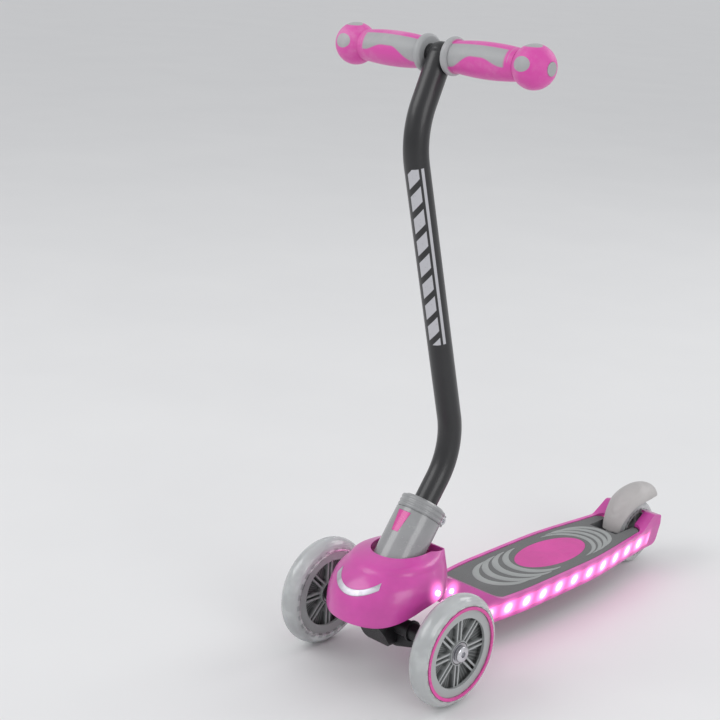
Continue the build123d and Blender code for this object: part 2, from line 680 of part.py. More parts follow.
def deck_core():
    """Chassis: ribbed tray, neck beam, steering barrel and the two arms of the rear wheel."""
    tray = plan_body(CORE_INSET, DECK_FRONT - 40, REAR_Y + 12) & deck_side(SHELL_T + 0.4)
    tray &= block(-100, 100, DECK_FRONT - 40, REAR_Y + 12, DECK_BOTTOM + 2, MAT_SEAT_Z)
    top = plan_body(SHELL_T + 0.4, DECK_FRONT + 1, DECK_REAR - 34) & block(
        -100, 100, DECK_FRONT + 1, DECK_REAR - 34, MAT_SEAT_Z - CORE_TOP_T, MAT_SEAT_Z)
    top &= plan_body(SHELL_T + 0.4, DECK_FRONT, DECK_REAR)
    neck = plan_body(SHELL_T + 0.4, NECK_FRONT - 30, DECK_FRONT) & deck_side_long()
    core = tray + top + neck
    for y0, y1 in bay_places():
        core -= bay_block(y0, y1)
    barrel_r = KINGPIN_R + BUSH_T + BARREL_WALL
    head = rod_line(barrel_r, BARREL_BOTTOM, BARREL_TOP)
    bridge = rod_line(barrel_r - 1, BARREL_BOTTOM + 4, BARREL_TOP - 2)
    core += head + bridge
    core -= rod_line(KINGPIN_R + BUSH_T + RUN, BARREL_BOTTOM - 30, BARREL_TOP + 60)
    core -= extrude(steering_plane(BARREL_TOP) * Circle(SLEEVE_R + 8), amount=80)
    core -= extrude(steering_plane(BARREL_BOTTOM) * Circle(TRUCK_BOSS_R + 26), amount=-80)
    channel = plan_body(0, STRIP_FRONT - 2, TAIL_Y) - plan_body(CORE_INSET, STRIP_FRONT - 6, TAIL_Y + 6)
    core -= channel & block(-100, 100, 0, TAIL_Y, 0, MAT_SEAT_Z - CORE_TOP_T)
    core -= wheel_well()
    core -= block(-BRAKE_HALF_W - 1, BRAKE_HALF_W + 1, MAT_NOTCH_Y, REAR_Y, 0, 200)
    core -= rod_x(AXLE_R + RUN, -100, 100, REAR_Y, REAR_R)
    core -= rod_x(BRAKE_PIN_R + RUN, -100, 100, BRAKE_PIN_Y, BRAKE_PIN_Z)
    return core


def head_bushes():
    """Flanged bushes in both ends of the barrel; the kingpin turns in them."""
    bore, outer = KINGPIN_R + RUN, KINGPIN_R + BUSH_T
    middle = (BARREL_TOP + BARREL_BOTTOM) / 2
    upper = ring_line(outer, bore, middle + 4, BARREL_TOP) + ring_line(
        outer + 3, bore, BARREL_TOP, BARREL_TOP + BUSH_FLANGE_T)
    lower = ring_line(outer, bore, BARREL_BOTTOM, middle - 4) + ring_line(
        outer + 3, bore, BARREL_BOTTOM - BUSH_FLANGE_T, BARREL_BOTTOM)
    return Compound([upper.solids()[0], lower.solids()[0]])


def deck_side_long():
    """The neck's side view run forward to the steering barrel."""
    barrel = steering_plane((BARREL_TOP + BARREL_BOTTOM) / 2).origin
    points = [(barrel.Y, barrel.Z + 8), (NECK_FRONT, NECK_TOP - 4), (NECK_FRONT + 22, NECK_TOP - 12),
              (DECK_FRONT + 2, DECK_TOP - 4), (DECK_FRONT + 2, DECK_BOTTOM + 5),
              (DECK_FRONT - 8, DECK_BOTTOM + 5),
              (NECK_FRONT + 46, DECK_TOP + 8), (NECK_FRONT, NECK_TOP - 22), (barrel.Y, barrel.Z - 8)]
    neck = make_face(Polyline(*points, close=True))
    wide = extrude(Plane.YZ * neck, amount=NECK_HALF + 10, both=True)
    slim = block(-14, 14, -60, NECK_FRONT + 20, 0, 200)
    return wide & (slim + block(-100, 100, NECK_FRONT + 9, DECK_FRONT + 10, 0, 200))


def bay_places():
    """Hollow bays between the cross ribs, open below."""
    start, end = DECK_FRONT - 4, MAT_NOTCH_Y - 4
    pitch = (end - start) / RIB_COUNT
    return [(start + pitch * n + RIB_T, start + pitch * (n + 1)) for n in range(RIB_COUNT)]


def bay_block(y0, y1):
    return plan_body(CORE_INSET + RIB_T, y0, y1) & block(
        -100, 100, y0, y1, DECK_BOTTOM - 5, MAT_SEAT_Z - CORE_TOP_T)


def deck_mat():
    """Rubber foot mat with a shallow oval seat for the inlay."""
    mat = mat_outline(MAT_GAP, MAT_SEAT_Z + 0.1, MAT_T - 0.1)
    oval = Ellipse(BADGE_HALF_W + SEAT, BADGE_HALF_L + SEAT)
    return mat - extrude(Pos(0, BADGE_Y, mat_top() - BADGE_T) * oval, amount=9)


def mat_top():
    return MAT_SEAT_Z + MAT_T


def mat_badge():
    """Plain coloured oval inlay, flush with the mat."""
    oval = Pos(0, BADGE_Y, mat_top() - BADGE_T + 0.05) * Ellipse(BADGE_HALF_W, BADGE_HALF_L)
    return extrude(oval, amount=BADGE_T - 0.05)


def mat_arcs():
    """Raised crescents ahead of and behind the inlay."""
    arcs = []
    for direction, pitch in ((-1, ARC_PITCH_FRONT), (1, ARC_PITCH_REAR)):
        for number in range(ARC_COUNT):
            tip = BADGE_HALF_L + 12 + pitch * number
            half = BADGE_HALF_W + 6 + 1.5 * number - 0.9 * number * number
            centre = BADGE_Y + direction * (tip - 40)
            whole = Pos(0, centre) * Ellipse(half, 40)
            cut = Pos(0, centre - direction * ARC_W) * Ellipse(half + 1.5, 40)
            arc = (whole - cut) & (Pos(0, centre + direction * 40) * Rectangle(2 * DECK_HALF, 74))
            arcs.append(extrude(Pos(0, 0, mat_top() + 0.02) * arc, amount=ARC_H))
    return Compound([solid for arc in arcs for solid in arc.solids()])


# ---------------------------------------------------------------- hood
def hood_level(level, inset):
    """Left half of one level of the hood: a round nose, a narrower rear corner and a straight back."""
    z, half, middle, front, rear, rear_half = level
    half, front, rear, rear_half = half - inset, front + inset, rear - inset, rear_half - inset
    deep = middle - front
    shoulder = (half * 0.8, middle - deep * 0.6)
    nose = Spline((rear_half, rear), (half, middle), shoulder, (0, front), tangents=[(0, -1), (-1, 0)])
    middle_line = Line((0, front), (0, rear))
    back = Line((0, rear), (rear_half, rear))
    return Pos(0, 0, SLEEVE_Z + z) * make_face([nose, middle_line, back])


def hood_body(inset, grow):
    levels = [list(level) for level in HOOD_LEVELS]
    levels[0][0] += grow
    levels[-1][0] -= grow
    left = loft([hood_level(level, inset) for level in levels])
    return left + mirror(left, about=Plane.YZ)


def hood_skirt_cut():
    """Room below the hood's sides, rising to the rear for the truck and the wheels."""
    rise = [(-80, -112.6), (-80, -53.6), (-50, -52.6), (-25, -43.6), (-10, -37.6), (5, -34.6),
            (24, -32.6), (90, -32.6), (90, -112.6)]
    return yz_prism([(y, SLEEVE_Z + z) for y, z in rise])


def hood_back_cut():
    """Slope that lowers the rear of the hood's top edge a little."""
    return yz_prism([(y, SLEEVE_Z + z) for y, z in [(30, 5.2), (62, 0.4), (62, 30), (30, 30)]])


def front_hood():
    """Round nose cover between the front wheels, open on top round the sleeve."""
    hood = hood_body(0, 0) - hood_body(HOOD_T, 0.5)
    hood -= hood_skirt_cut() + hood_back_cut()
    neck = plan_body(-SEAT, NECK_FRONT - 40, DECK_FRONT) & deck_side_room()
    hood -= neck
    hood -= badge_band(SEAT)
    for hole in both_sides(hood_lamp(LAMP_R + SEAT, -8, 8)):
        hood -= hole
    return hood


def deck_side_room():
    """The neck's side view with a small gap all round, open to the front."""
    points = [(NECK_FRONT - 40, NECK_TOP + 3.4), (NECK_FRONT, NECK_TOP + 3.4),
              (NECK_FRONT + 24, NECK_TOP - 7.4),
              (DECK_FRONT, DECK_TOP), (DECK_FRONT, DECK_BOTTOM), (NECK_FRONT + 42, DECK_TOP + 3.6),
              (NECK_FRONT, NECK_TOP - 26.4), (NECK_FRONT - 40, NECK_TOP - 26.4)]
    solid = extrude(Plane.YZ * make_face(Polyline(*points, close=True)), amount=100, both=True)
    return solid & block(-100, 100, NECK_FRONT - 0.4, DECK_FRONT, 0, 200)


def badge_band(gap):
    """Front arc band of the hood, a curved bar that follows its nose."""
    high, low, half = SLEEVE_Z - 12.6, SLEEVE_Z - 19.6, 27 + gap
    points = [(-half, high + gap), (0, high - 9 + gap), (half, high + gap), (half, low - gap),
              (0, low - 9 - gap), (-half, low - gap)]
    upper = ThreePointArc(points[0], points[1], points[2])
    lower = ThreePointArc(points[3], points[4], points[5])
    outline = make_face([upper, Line(points[2], points[3]), lower, Line(points[5], points[0])])
    prism = extrude(Plane(origin=(0, -20, 0), x_dir=(1, 0, 0), z_dir=(0, -1, 0)) * outline, amount=80)
    return prism & (hood_body(-0.2 if gap else 0, 0) - hood_body(1.0 + gap, 0.5))


def hood_badge():
    return badge_band(0)


# ---------------------------------------------------------------- rear wheel and brake
def rear_tyre():
    tyre = ring_x(REAR_R, REAR_RIM_R, -REAR_W / 2, REAR_W / 2, 0, 0)
    outer_edges = [e for e in tyre.edges().filter_by(GeomType.CIRCLE) if e.radius > REAR_R - 1]
    return at_rear(fillet(outer_edges, min(8.0, REAR_W * 0.33)))


def at_rear(shape):
    return Pos(0, REAR_Y, REAR_R) * shape


def rear_hub():
    hub = ring_x(REAR_RIM_R, REAR_RIM_R - 4, -REAR_W / 2 + 1, REAR_W / 2 - 1, 0, 0)
    hub += rod_x(REAR_RIM_R - 1, -WEB_T / 2, WEB_T / 2, 0, 0)
    hub += rod_x(HUB_R, -REAR_W / 2, REAR_W / 2, 0, 0)
    for number in range(6):
        rib = block(-REAR_W * 0.3, REAR_W * 0.3, -1.5, 1.5, HUB_R - 2, REAR_RIM_R - 2)
        hub += Rot(60 * number, 0, 0) * rib
    hub -= rod_x(AXLE_R + 2, -REAR_W, REAR_W, 0, 0)
    for side in (-1, 1):
        seat = side * (REAR_W / 2 - BEARING_W)
        hub -= rod_x(BEARING_R + RUN, min(seat, side * REAR_W), max(seat, side * REAR_W), 0, 0)
    return at_rear(hub)


def rear_bearings():
    parts = [ring_x(BEARING_R, AXLE_R + RUN, REAR_W / 2 - BEARING_W + RUN, REAR_W / 2, 0, 0),
             ring_x(BEARING_R, AXLE_R + RUN, -REAR_W / 2, BEARING_W - RUN - REAR_W / 2, 0, 0)]
    return at_rear(Compound(parts))


def rear_spacers():
    """Sleeves that keep the wheel centred between the arms."""
    start = REAR_W / 2 + 0.3
    end = well_half() - 0.1
    left = ring_x(AXLE_R + 2.6, AXLE_R + RUN, start, end, 0, 0)
    right = ring_x(AXLE_R + 2.6, AXLE_R + RUN, -end, -start, 0, 0)
    return at_rear(Compound([left, right]))


def well_half():
    return REAR_W / 2 + REAR_SPACER


def rear_axle_bolt():
    """Bolt through both arms, its head on the left and its nut on the right."""
    reach = core_arm_outer()
    bolt = rod_x(AXLE_R, -reach - 4, reach + 0.2, REAR_Y, REAR_R)
    bolt += rod_x(AXLE_R + 2.4, reach + 0.2, reach + 3.4, REAR_Y, REAR_R)
    return bolt


def core_arm_outer():
    """Outside of the arms at the rear axle, clear of their lean and taper under the bolt head."""
    head = AXLE_R + 2.4
    lean = SIDE_LEAN * (DECK_TOP - REAR_R - head) / (DECK_TOP - DECK_BOTTOM)
    return half_width(REAR_Y - head) - CORE_INSET - lean + 0.1


def rear_axle_nut():
    reach = core_arm_outer()
    return ring_x(AXLE_R + 2.4, AXLE_R + RUN, -reach - 3.4, -reach - 0.2, REAR_Y, REAR_R)


def arc_shell(outer, inner, half, start, end):
    """Curved plate about the brake's arc centre, between two angles from the rear, turned up."""
    def point(radius, angle):
        return (BRAKE_ARC_Y + radius * cos(radians(angle)), BRAKE_ARC_Z + radius * sin(radians(angle)))
    middle = (start + end) / 2
    top = ThreePointArc(point(outer, start), point(outer, middle), point(outer, end))
    low = ThreePointArc(point(inner, end), point(inner, middle), point(inner, start))
    outline = make_face([top, Line(top @ 1, low @ 0), low, Line(low @ 1, top @ 0)])
    return extrude(Plane.YZ * outline, amount=half, both=True)


def brake_fender():
    """Curved foot brake over the rear wheel with a knuckle at its front."""
    fender = arc_shell(BRAKE_ARC_R, BRAKE_ARC_R - BRAKE_T, BRAKE_HALF_W, BRAKE_START, BRAKE_END)
    tips = fender.edges().filter_by(lambda e: e.length < BRAKE_T + 1).sort_by(Axis.Y)[-2:]
    fender = fillet(tips, 12)
    fender += arc_shell(BRAKE_ARC_R - BRAKE_T + 1, BRAKE_ARC_R - BRAKE_T - 5, 1.5, 60, BRAKE_END)
    for side in (-1, 1):
        edge = arc_shell(BRAKE_ARC_R - 1, BRAKE_ARC_R - BRAKE_T - 4, 1.2, BRAKE_START + 24, BRAKE_END)
        fender += Pos(side * (BRAKE_HALF_W - 1.2), 0, 0) * edge
        knuckle = rod_x(6, side * 13 - 5, side * 13 + 5, BRAKE_PIN_Y, BRAKE_PIN_Z)
        lug = block(side * 13 - 5, side * 13 + 5, BRAKE_PIN_Y - 6, BRAKE_PIN_Y + 3,
                    BRAKE_PIN_Z, BRAKE_PIN_Z + REAR_R / 2)
        fender += knuckle + (lug & arc_shell(BRAKE_ARC_R, BRAKE_ARC_R - 20, BRAKE_HALF_W, 120, 178))
    fender -= pad_pocket(SEAT)
    fender -= rod_x(BRAKE_PIN_R + RUN, -60, 60, BRAKE_PIN_Y, BRAKE_PIN_Z)
    return fender


def pad_pocket(gap):
    half = 11 + gap
    return arc_shell(BRAKE_ARC_R - BRAKE_T + 1, 20, half, 82 - gap, 112 + gap)


def brake_pad():
    """Wear block under the brake, hollowed to the tyre."""
    pad = arc_shell(BRAKE_ARC_R - BRAKE_T - 0.1 + 1, 20, 11, 82, 112)
    return pad - rod_x(REAR_R + BRAKE_PAD_GAP, -60, 60, REAR_Y, REAR_R)


def brake_pin():
    reach = BRAKE_HALF_W + 6
    return rod_x(BRAKE_PIN_R, -reach, reach, BRAKE_PIN_Y, BRAKE_PIN_Z)


def brake_spring():
    """Return spring wound round the pin between the knuckles, with a leg under the tray."""
    coil = ring_x(BRAKE_PIN_R + 2.2, BRAKE_PIN_R + 0.6, -7, 7, BRAKE_PIN_Y, BRAKE_PIN_Z)
    under = BRAKE_PIN_Z - BRAKE_PIN_R
    leg = block(-6.5, -5, MAT_NOTCH_Y + 0.2, BRAKE_PIN_Y, under - 2.2, under - 0.8)
    return coil + leg


# ---------------------------------------------------------------- power
def battery_bay():
    return bay_places()[2]


def battery_box():
    """Tray for the cells, screwed up into one bay."""
    y0, y1 = battery_bay()
    half = CELL_COUNT * CELL_R + 5
    top = MAT_SEAT_Z - CORE_TOP_T - SEAT
    box = block(-half, half, y0 + SEAT, y1 - SEAT, DECK_BOTTOM + 3, top)
    return box - block(-half + 1.6, half - 1.6, y0 + SEAT + 1.6, y1 - SEAT - 1.6, DECK_BOTTOM, top - 1.6)


def battery_cells():
    y0, y1 = battery_bay()
    middle = (y0 + y1) / 2
    top = MAT_SEAT_Z - CORE_TOP_T - SEAT - 1.6
    pitch = 2 * CELL_R + 0.5
    length = min(CELL_L, y1 - y0 - 2 * SEAT - 3.6)
    cells = []
    for number in range(CELL_COUNT):
        x = pitch * (number - (CELL_COUNT - 1) / 2)
        cell = Pos(x, middle, top - CELL_R - 0.3) * Rot(90, 0, 0) * Cylinder(CELL_R, length)
        cells.append(cell)
    return Compound(cells)


def battery_cover():
    y0, y1 = battery_bay()
    half = CELL_COUNT * CELL_R + 5
    cover = block(-half, half, y0 + SEAT, y1 - SEAT, DECK_BOTTOM + 0.6, DECK_BOTTOM + 2.8)
    hole = Pos(half - 2.6, (y0 + y1) / 2, DECK_BOTTOM) * Cylinder(1.3, 20)
    return cover - hole - button_rod(BUTTON_R + 0.3, DECK_BOTTOM - 5, DECK_BOTTOM + 9)


def button_rod(radius, z0, z1):
    """A round of the light button, set in the cover."""
    y0, y1 = battery_bay()
    place = Pos(0, (y0 + y1) / 2, z0)
    return place * Cylinder(radius, z1 - z0, align=(Align.CENTER, Align.CENTER, Align.MIN))


def light_button():
    """Push button of the lamps: it shows through the cover and is held by its flange."""
    top = DECK_BOTTOM + 3.0
    return button_rod(BUTTON_R, DECK_BOTTOM - 0.8, top + 1) + button_rod(BUTTON_R + 1.5, top, top + 1)


def battery_screw():
    y0, y1 = battery_bay()
    half = CELL_COUNT * CELL_R + 5
    place = Pos(half - 2.6, (y0 + y1) / 2, DECK_BOTTOM - 0.7)
    return place * Cylinder(2.4, 1.2, align=(Align.CENTER, Align.CENTER, Align.MIN)) + place * Cylinder(
        1.2, 3.4, align=(Align.CENTER, Align.CENTER, Align.MIN))


parts = {}


def keep(name, shape):
    parts[name] = shape


def build():
    left_wheel = {"tyre": wheel_tyre(), "hub": wheel_hub(), "trim": wheel_trim(),
                  "bearings": wheel_bearings()}
    for name, shape in left_wheel.items():
        for side, piece in zip(("left", "right"), both_sides(on_left_wheel(shape))):
            keep(f"front_{name}_{side}", piece)
    for side, piece in zip(("left", "right"), both_sides(axle_bolt())):
        keep(f"axle_bolt_{side}", piece)
    keep("axle_washers", pair(axle_washer()))
    keep("front_axle", front_axle())
    keep("truck", truck())
    keep("centring_springs", centring_springs())
    keep("spring_cover", cover_recess(0))
    keep("steering_column", steering_column())
    keep("steering_sleeve", steering_sleeve())
    keep("sleeve_accent", accent_solid(0))
    keep("release_button", release_button())
    keep("clamp_collar", clamp_collar())
    keep("clamp_bolt", clamp_bolt())
    keep("clamp_nut", clamp_nut())
    keep("stem", stem())
    keep("crossbar", crossbar())
    for side, piece in zip(("left", "right"), both_sides(grip_core())):
        keep(f"grip_core_{side}", piece)
    for side, piece in zip(("left", "right"), both_sides(grip_shell())):
        keep(f"grip_shell_{side}", piece)
    for side, piece in zip(("left", "right"), both_sides(on_bar(plug_rod(0)))):
        keep(f"bar_plug_{side}", piece)
    keep("deck_shell", deck_shell())
    for side, piece in zip(("left", "right"), both_sides(light_strip())):
        keep(f"light_strip_{side}", piece)
    for side, piece in zip(("left", "right"), both_sides(led_board())):
        keep(f"led_board_{side}", piece)
    keep("neck_lamps", pair(neck_lamp(LAMP_R, 0.1 - SHELL_T, 0.8)))
    keep("hood_lamps", pair(hood_lamp(LAMP_R, -2.0, 2.4)))
    keep("deck_core", deck_core())
    keep("head_bushes", head_bushes())
    keep("deck_mat", deck_mat())
    keep("mat_badge", mat_badge())
    keep("mat_arcs", mat_arcs())
    keep("front_hood", front_hood())
    keep("hood_badge", hood_badge())
    keep("rear_tyre", rear_tyre())
    keep("rear_hub", rear_hub())
    keep("rear_bearings", rear_bearings())
    keep("rear_spacers", rear_spacers())
    keep("rear_axle_bolt", rear_axle_bolt())
    keep("rear_axle_nut", rear_axle_nut())
    keep("brake_fender", brake_fender())
    keep("brake_pad", brake_pad())
    keep("brake_pin", brake_pin())
    keep("brake_spring", brake_spring())
    keep("battery_box", battery_box())
    keep("battery_cells", battery_cells())
    keep("battery_cover", battery_cover())
    keep("battery_screw", battery_screw())
    keep("light_button", light_button())


build()
boxes = [shape.bounding_box() for shape in parts.values()]
shift = -(min(b.min.Y for b in boxes) + max(b.max.Y for b in boxes)) / 2
os.makedirs("parts", exist_ok=True)
for name, shape in parts.items():
    export_step(Pos(0, shift, 0) * shape, f"parts/{name}.step")
print("moved along Y by", round(shift, 3))
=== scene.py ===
# %% [markdown]
# # A child's kick scooter with lit edges
# The scooter stands on three wheels. Its frame, wheels, joints and sizes come ready made,
# and this lesson gives it its looks. Some parts keep their mesh and get a material. Others
# show mostly as smooth curved skins, so they are worked out again here as formulas on a grid.

import bmesh
import bpy
import json
import numpy as np
from math import cos, radians, sin
from mathutils import Matrix, Vector


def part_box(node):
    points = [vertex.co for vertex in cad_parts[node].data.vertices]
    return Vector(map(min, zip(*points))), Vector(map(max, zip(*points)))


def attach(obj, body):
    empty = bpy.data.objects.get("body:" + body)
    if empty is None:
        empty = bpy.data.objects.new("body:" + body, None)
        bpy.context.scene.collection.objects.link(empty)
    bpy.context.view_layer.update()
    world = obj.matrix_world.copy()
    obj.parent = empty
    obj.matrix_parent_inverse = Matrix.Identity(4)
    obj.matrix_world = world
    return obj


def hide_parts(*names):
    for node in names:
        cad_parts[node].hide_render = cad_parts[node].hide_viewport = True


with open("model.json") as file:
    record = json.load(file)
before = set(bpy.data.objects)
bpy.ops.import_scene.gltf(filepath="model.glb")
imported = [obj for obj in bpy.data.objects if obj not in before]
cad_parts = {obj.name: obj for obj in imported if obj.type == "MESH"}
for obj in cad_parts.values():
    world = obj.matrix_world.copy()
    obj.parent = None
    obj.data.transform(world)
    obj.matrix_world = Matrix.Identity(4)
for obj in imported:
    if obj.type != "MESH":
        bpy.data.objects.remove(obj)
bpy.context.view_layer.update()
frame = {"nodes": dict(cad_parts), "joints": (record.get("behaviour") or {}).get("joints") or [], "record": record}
nodes = frame["nodes"]

# %% [markdown]
# The steering line is the leaning line that the sleeve, the stem's foot and the kingpin share.
# Its joint gives a point on it, `foot`, and its direction. Meshes, boxes and shaders are in
# metres. Profiles are written in millimetres and scaled by `MM`, and `at` takes a place in
# millimetres, with its Y from the front axle.

# %% Places that many pieces share
MM = 0.001
joints = {joint["name"]: joint for joint in frame["joints"]}
foot = np.array(joints["steer"]["pos_m"])
steer_line = np.array(joints["steer"]["axis"])
axle_y = joints["front_left_spin"]["pos_m"][1]
axle_left = np.array(joints["front_left_spin"]["pos_m"])
axle_right = np.array(joints["front_right_spin"]["pos_m"])
axle_rear = np.array(joints["rear_spin"]["pos_m"])


def at(x, y, z):
    """A place given in millimetres from the front axle and the floor, in metres."""
    return np.array([x * MM, y * MM + axle_y, z * MM])


print("front axle is at Y", round(axle_y, 4))

# %% [markdown]
# ## Writing shaders as sums
# A node tree is easier to read as a sum than as a row of links. `Wire` stands for one output
# socket. Adding or multiplying wires adds the Math node that does it.

# %% A wire that can be used in sums
class Wire:
    """One output of a node; sums on it add Math nodes to its graph."""

    def __init__(self, graph, socket):
        self.graph = graph
        self.socket = socket

    def __add__(self, other):
        return self.graph.math("ADD", self, other)

    def __radd__(self, other):
        return self.graph.math("ADD", other, self)

    def __sub__(self, other):
        return self.graph.math("SUBTRACT", self, other)

    def __rsub__(self, other):
        return self.graph.math("SUBTRACT", other, self)

    def __mul__(self, other):
        return self.graph.math("MULTIPLY", self, other)

    def __rmul__(self, other):
        return self.graph.math("MULTIPLY", other, self)

    def __truediv__(self, other):
        return self.graph.math("DIVIDE", self, other)

    def __mod__(self, other):
        return self.graph.math("FLOORED_MODULO", self, other)

    def __abs__(self):
        return self.graph.math("ABSOLUTE", self)


# %% [markdown]
# `Graph` holds one material. Its `node` method makes any node: the type, its settings, and the
# values or wires of its inputs. The rest of the class is short names for nodes used a lot.

# %% The graph of one material
class Graph:
    """A material under construction."""

    def __init__(self, name):
        self.material = bpy.data.materials.new(name)
        self.material.use_nodes = True
        self.tree = self.material.node_tree
        self.tree.nodes.clear()

    def node(self, kind, settings=None, inputs=None, output=0):
        """Adds a node, makes its settings, fills its inputs and returns a wire from one output."""
        made = self.tree.nodes.new(kind)
        for key, value in (settings or {}).items():
            setattr(made, key, value)
        for key, value in (inputs or {}).items():
            if isinstance(value, Wire):
                self.tree.links.new(value.socket, made.inputs[key])
            else:
                made.inputs[key].default_value = value
        return Wire(self, made.outputs[output]) if made.outputs else None

    def math(self, operation, *values):
        """Math node on wires and numbers."""
        return self.node("ShaderNodeMath", {"operation": operation}, dict(enumerate(values)))

    def place(self):
        """The point on the piece, in metres."""
        return self.node("ShaderNodeTexCoord", output="Object")

    def axes(self):
        """X, Y and Z of the point, as three wires."""
        split = self.node("ShaderNodeSeparateXYZ", inputs={0: self.place()}).socket.node
        return [Wire(self, split.outputs[n]) for n in range(3)]

    def noise(self, scale, detail=3.0, rough=0.55, stretch=None):
        """Cloudy value from 0 to 1; a stretch below 1 draws it out along that axis."""
        where = self.place()
        if stretch is not None:
            scaled = {0: where, 1: stretch}
            where = self.node("ShaderNodeVectorMath", {"operation": "MULTIPLY"}, scaled)
        return self.node("ShaderNodeTexNoise", inputs={
            "Vector": where, "Scale": scale, "Detail": detail, "Roughness": rough})

    def length(self, *parts):
        """Square root of the sum of the squares."""
        squares = [part * part for part in parts]
        total = squares[0]
        for square in squares[1:]:
            total = total + square
        return self.math("SQRT", total)

    def round_axle(self, centre):
        """Angle and distance of the point round the X axis through a place."""
        y, z = self.axes()[1:]
        rise, across = z - centre[2], y - centre[1]
        return self.math("ARCTAN2", rise, across), self.length(rise, across)

    def grain(self, scale):
        """Fine cell pattern of a moulded grain, from 0 to about 1."""
        return self.node("ShaderNodeTexVoronoi", inputs={"Vector": self.place(), "Scale": scale})

    def soft_step(self, wire, low, high):
        """0 at low, 1 at high and smooth between; it falls where low is the larger."""
        return self.node("ShaderNodeMapRange", {"interpolation_type": "SMOOTHSTEP"}, {
            "Value": wire, "From Min": low, "From Max": high, "To Min": 0.0, "To Max": 1.0})

    def window(self, wire, low, high, edge):
        """1 between low and high and 0 outside, with soft edges inside the window."""
        return self.soft_step(wire, low, low + edge) * self.soft_step(wire, high, high - edge)

    def blend(self, share, first, second):
        """Colour that goes from first to second as share goes from 0 to 1."""
        first = first if isinstance(first, Wire) else (*first, 1)
        second = second if isinstance(second, Wire) else (*second, 1)
        made = self.tree.nodes.new("ShaderNodeMix")
        made.data_type = "RGBA"
        for key, value in (("Factor_Float", share), ("A_Color", first), ("B_Color", second)):
            socket = next(s for s in made.inputs if s.identifier == key)
            if isinstance(value, Wire):
                self.tree.links.new(value.socket, socket)
            else:
                socket.default_value = value
        return Wire(self, next(s for s in made.outputs if s.identifier == "Result_Color"))

    def bump(self, height, strength, distance):
        """Normal that is tilted by a height."""
        return self.node("ShaderNodeBump", inputs={
            "Height": height, "Strength": strength, "Distance": distance})

    def surface(self, **inputs):
        """The Principled shader, its inputs named in plain words, as the material's surface."""
        named = {key.replace("_", " "): value for key, value in inputs.items()}
        shader = self.node("ShaderNodeBsdfPrincipled", inputs=named)
        self.node("ShaderNodeOutputMaterial", inputs={"Surface": shader})
        return self.material


# %% [markdown]
# ## Moulded plastics
# Most of the scooter is moulded plastic. A glossy moulding has a faint orange-peel ripple,
# fine scuffs and dust that dull the gloss in patches. A flat colour would look like paint on
# a screen, so colour, gloss and bump each get their own noise.

# %% Plastic with a moulded skin
def scuffed(g, colour):
    """Colour that drifts a little, the mask of its fine scuffs and the cloud behind the drift."""
    cloud = g.noise(22.0, 4.0)
    scuff = g.soft_step(g.noise(160.0, 5.0, 0.7, (1.0, 0.25, 1.0)), 0.52, 0.78)
    dark = tuple(0.86 * c for c in colour)
    return g.blend(g.soft_step(cloud, 0.35, 0.7), dark, colour), scuff, cloud


def moulded(name, colour, gloss, ripple=0.12, grain=0.0, **more):
    """Plastic: colour drifts a little, scuffs dull the gloss, and the skin ripples or is grained."""
    g = Graph(name)
    tint, scuff, cloud = scuffed(g, colour)
    height = g.noise(260.0, 2.0) * ripple
    if grain:
        height = height + g.grain(2600.0) * grain
    return g.surface(Base_Color=tint, Roughness=gloss + 0.16 * scuff + 0.05 * cloud,
                     Normal=g.bump(height, 0.35, 0.0006), **more)


trim_pink = moulded("pink trim", (0.72, 0.05, 0.34), 0.25, 0.06, Coat_Weight=0.4)

# %% Grey and black mouldings
GREY = (0.31, 0.315, 0.32)
sleeve_grey = moulded("glossy grey sleeve", GREY, 0.20, 0.08,
                      Coat_Weight=0.5, Coat_Roughness=0.06)
core_grey = moulded("grey chassis", (0.10, 0.105, 0.11), 0.42, 0.3, 0.3)
truck_black = moulded("black truck", (0.012, 0.012, 0.014), 0.36, 0.35, 0.4)
brake_grey = moulded("warm grey brake", (0.46, 0.44, 0.435), 0.34, 0.2, 0.35)
bush_white = moulded("white bush", (0.62, 0.62, 0.58), 0.4)
button_black = moulded("soft black button", (0.02, 0.02, 0.022), 0.55, 0.3, 0.5)
board_white = moulded("lamp strip", (0.6, 0.62, 0.6), 0.45)
print("greys ready")

# %% [markdown]
# ## Rubber
# Rubber is duller than plastic and holds dust in its fine grain. The foot mat is a dark sheet
# with a leathery grain and lighter ridges.

# %% Rubber with a grain
def rubber(name, colour, rough, scale=1500.0, depth=0.0005):
    """Rubber: dust lightens it in patches and a fine cell grain breaks up the light."""
    g = Graph(name)
    dust = g.soft_step(g.noise(30.0, 5.0, 0.65), 0.45, 0.75)
    pale = tuple(min(1.0, 1.12 * c + 0.012) for c in colour)
    skin = g.grain(scale) + 0.6 * g.noise(scale * 0.6, 2.0)
    return g.surface(Base_Color=g.blend(dust, colour, pale), Roughness=rough + 0.12 * dust,
                     Normal=g.bump(skin, 0.3, depth), Sheen_Weight=0.08)


mat_dark = rubber("dark foot mat", (0.115, 0.118, 0.118), 0.6, 1100.0, 0.0008)
mat_light = rubber("light ridges of the mat", (0.30, 0.315, 0.31), 0.5, 1100.0, 0.0008)
spring_rubber = rubber("black rubber", (0.02, 0.02, 0.02), 0.7)

# %% [markdown]
# A wavy grey band runs along the front of each pink grip, from the flange to the ball. The soft
# skin and the core under it share one pattern, so the band goes on across the edge between
# them. The band lies between two angles round the bar, and the lower one changes with the way
# out along the grip.

# %% Two-colour grips
grip_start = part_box("grip_shell_left")[0].x
bar_low, bar_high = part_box("crossbar")
bar_y, bar_z = (bar_low.y + bar_high.y) / 2, (bar_low.z + bar_high.z) / 2
GRIP_PINK = (0.66, 0.062, 0.37)
BAND_LENGTH = 0.0716


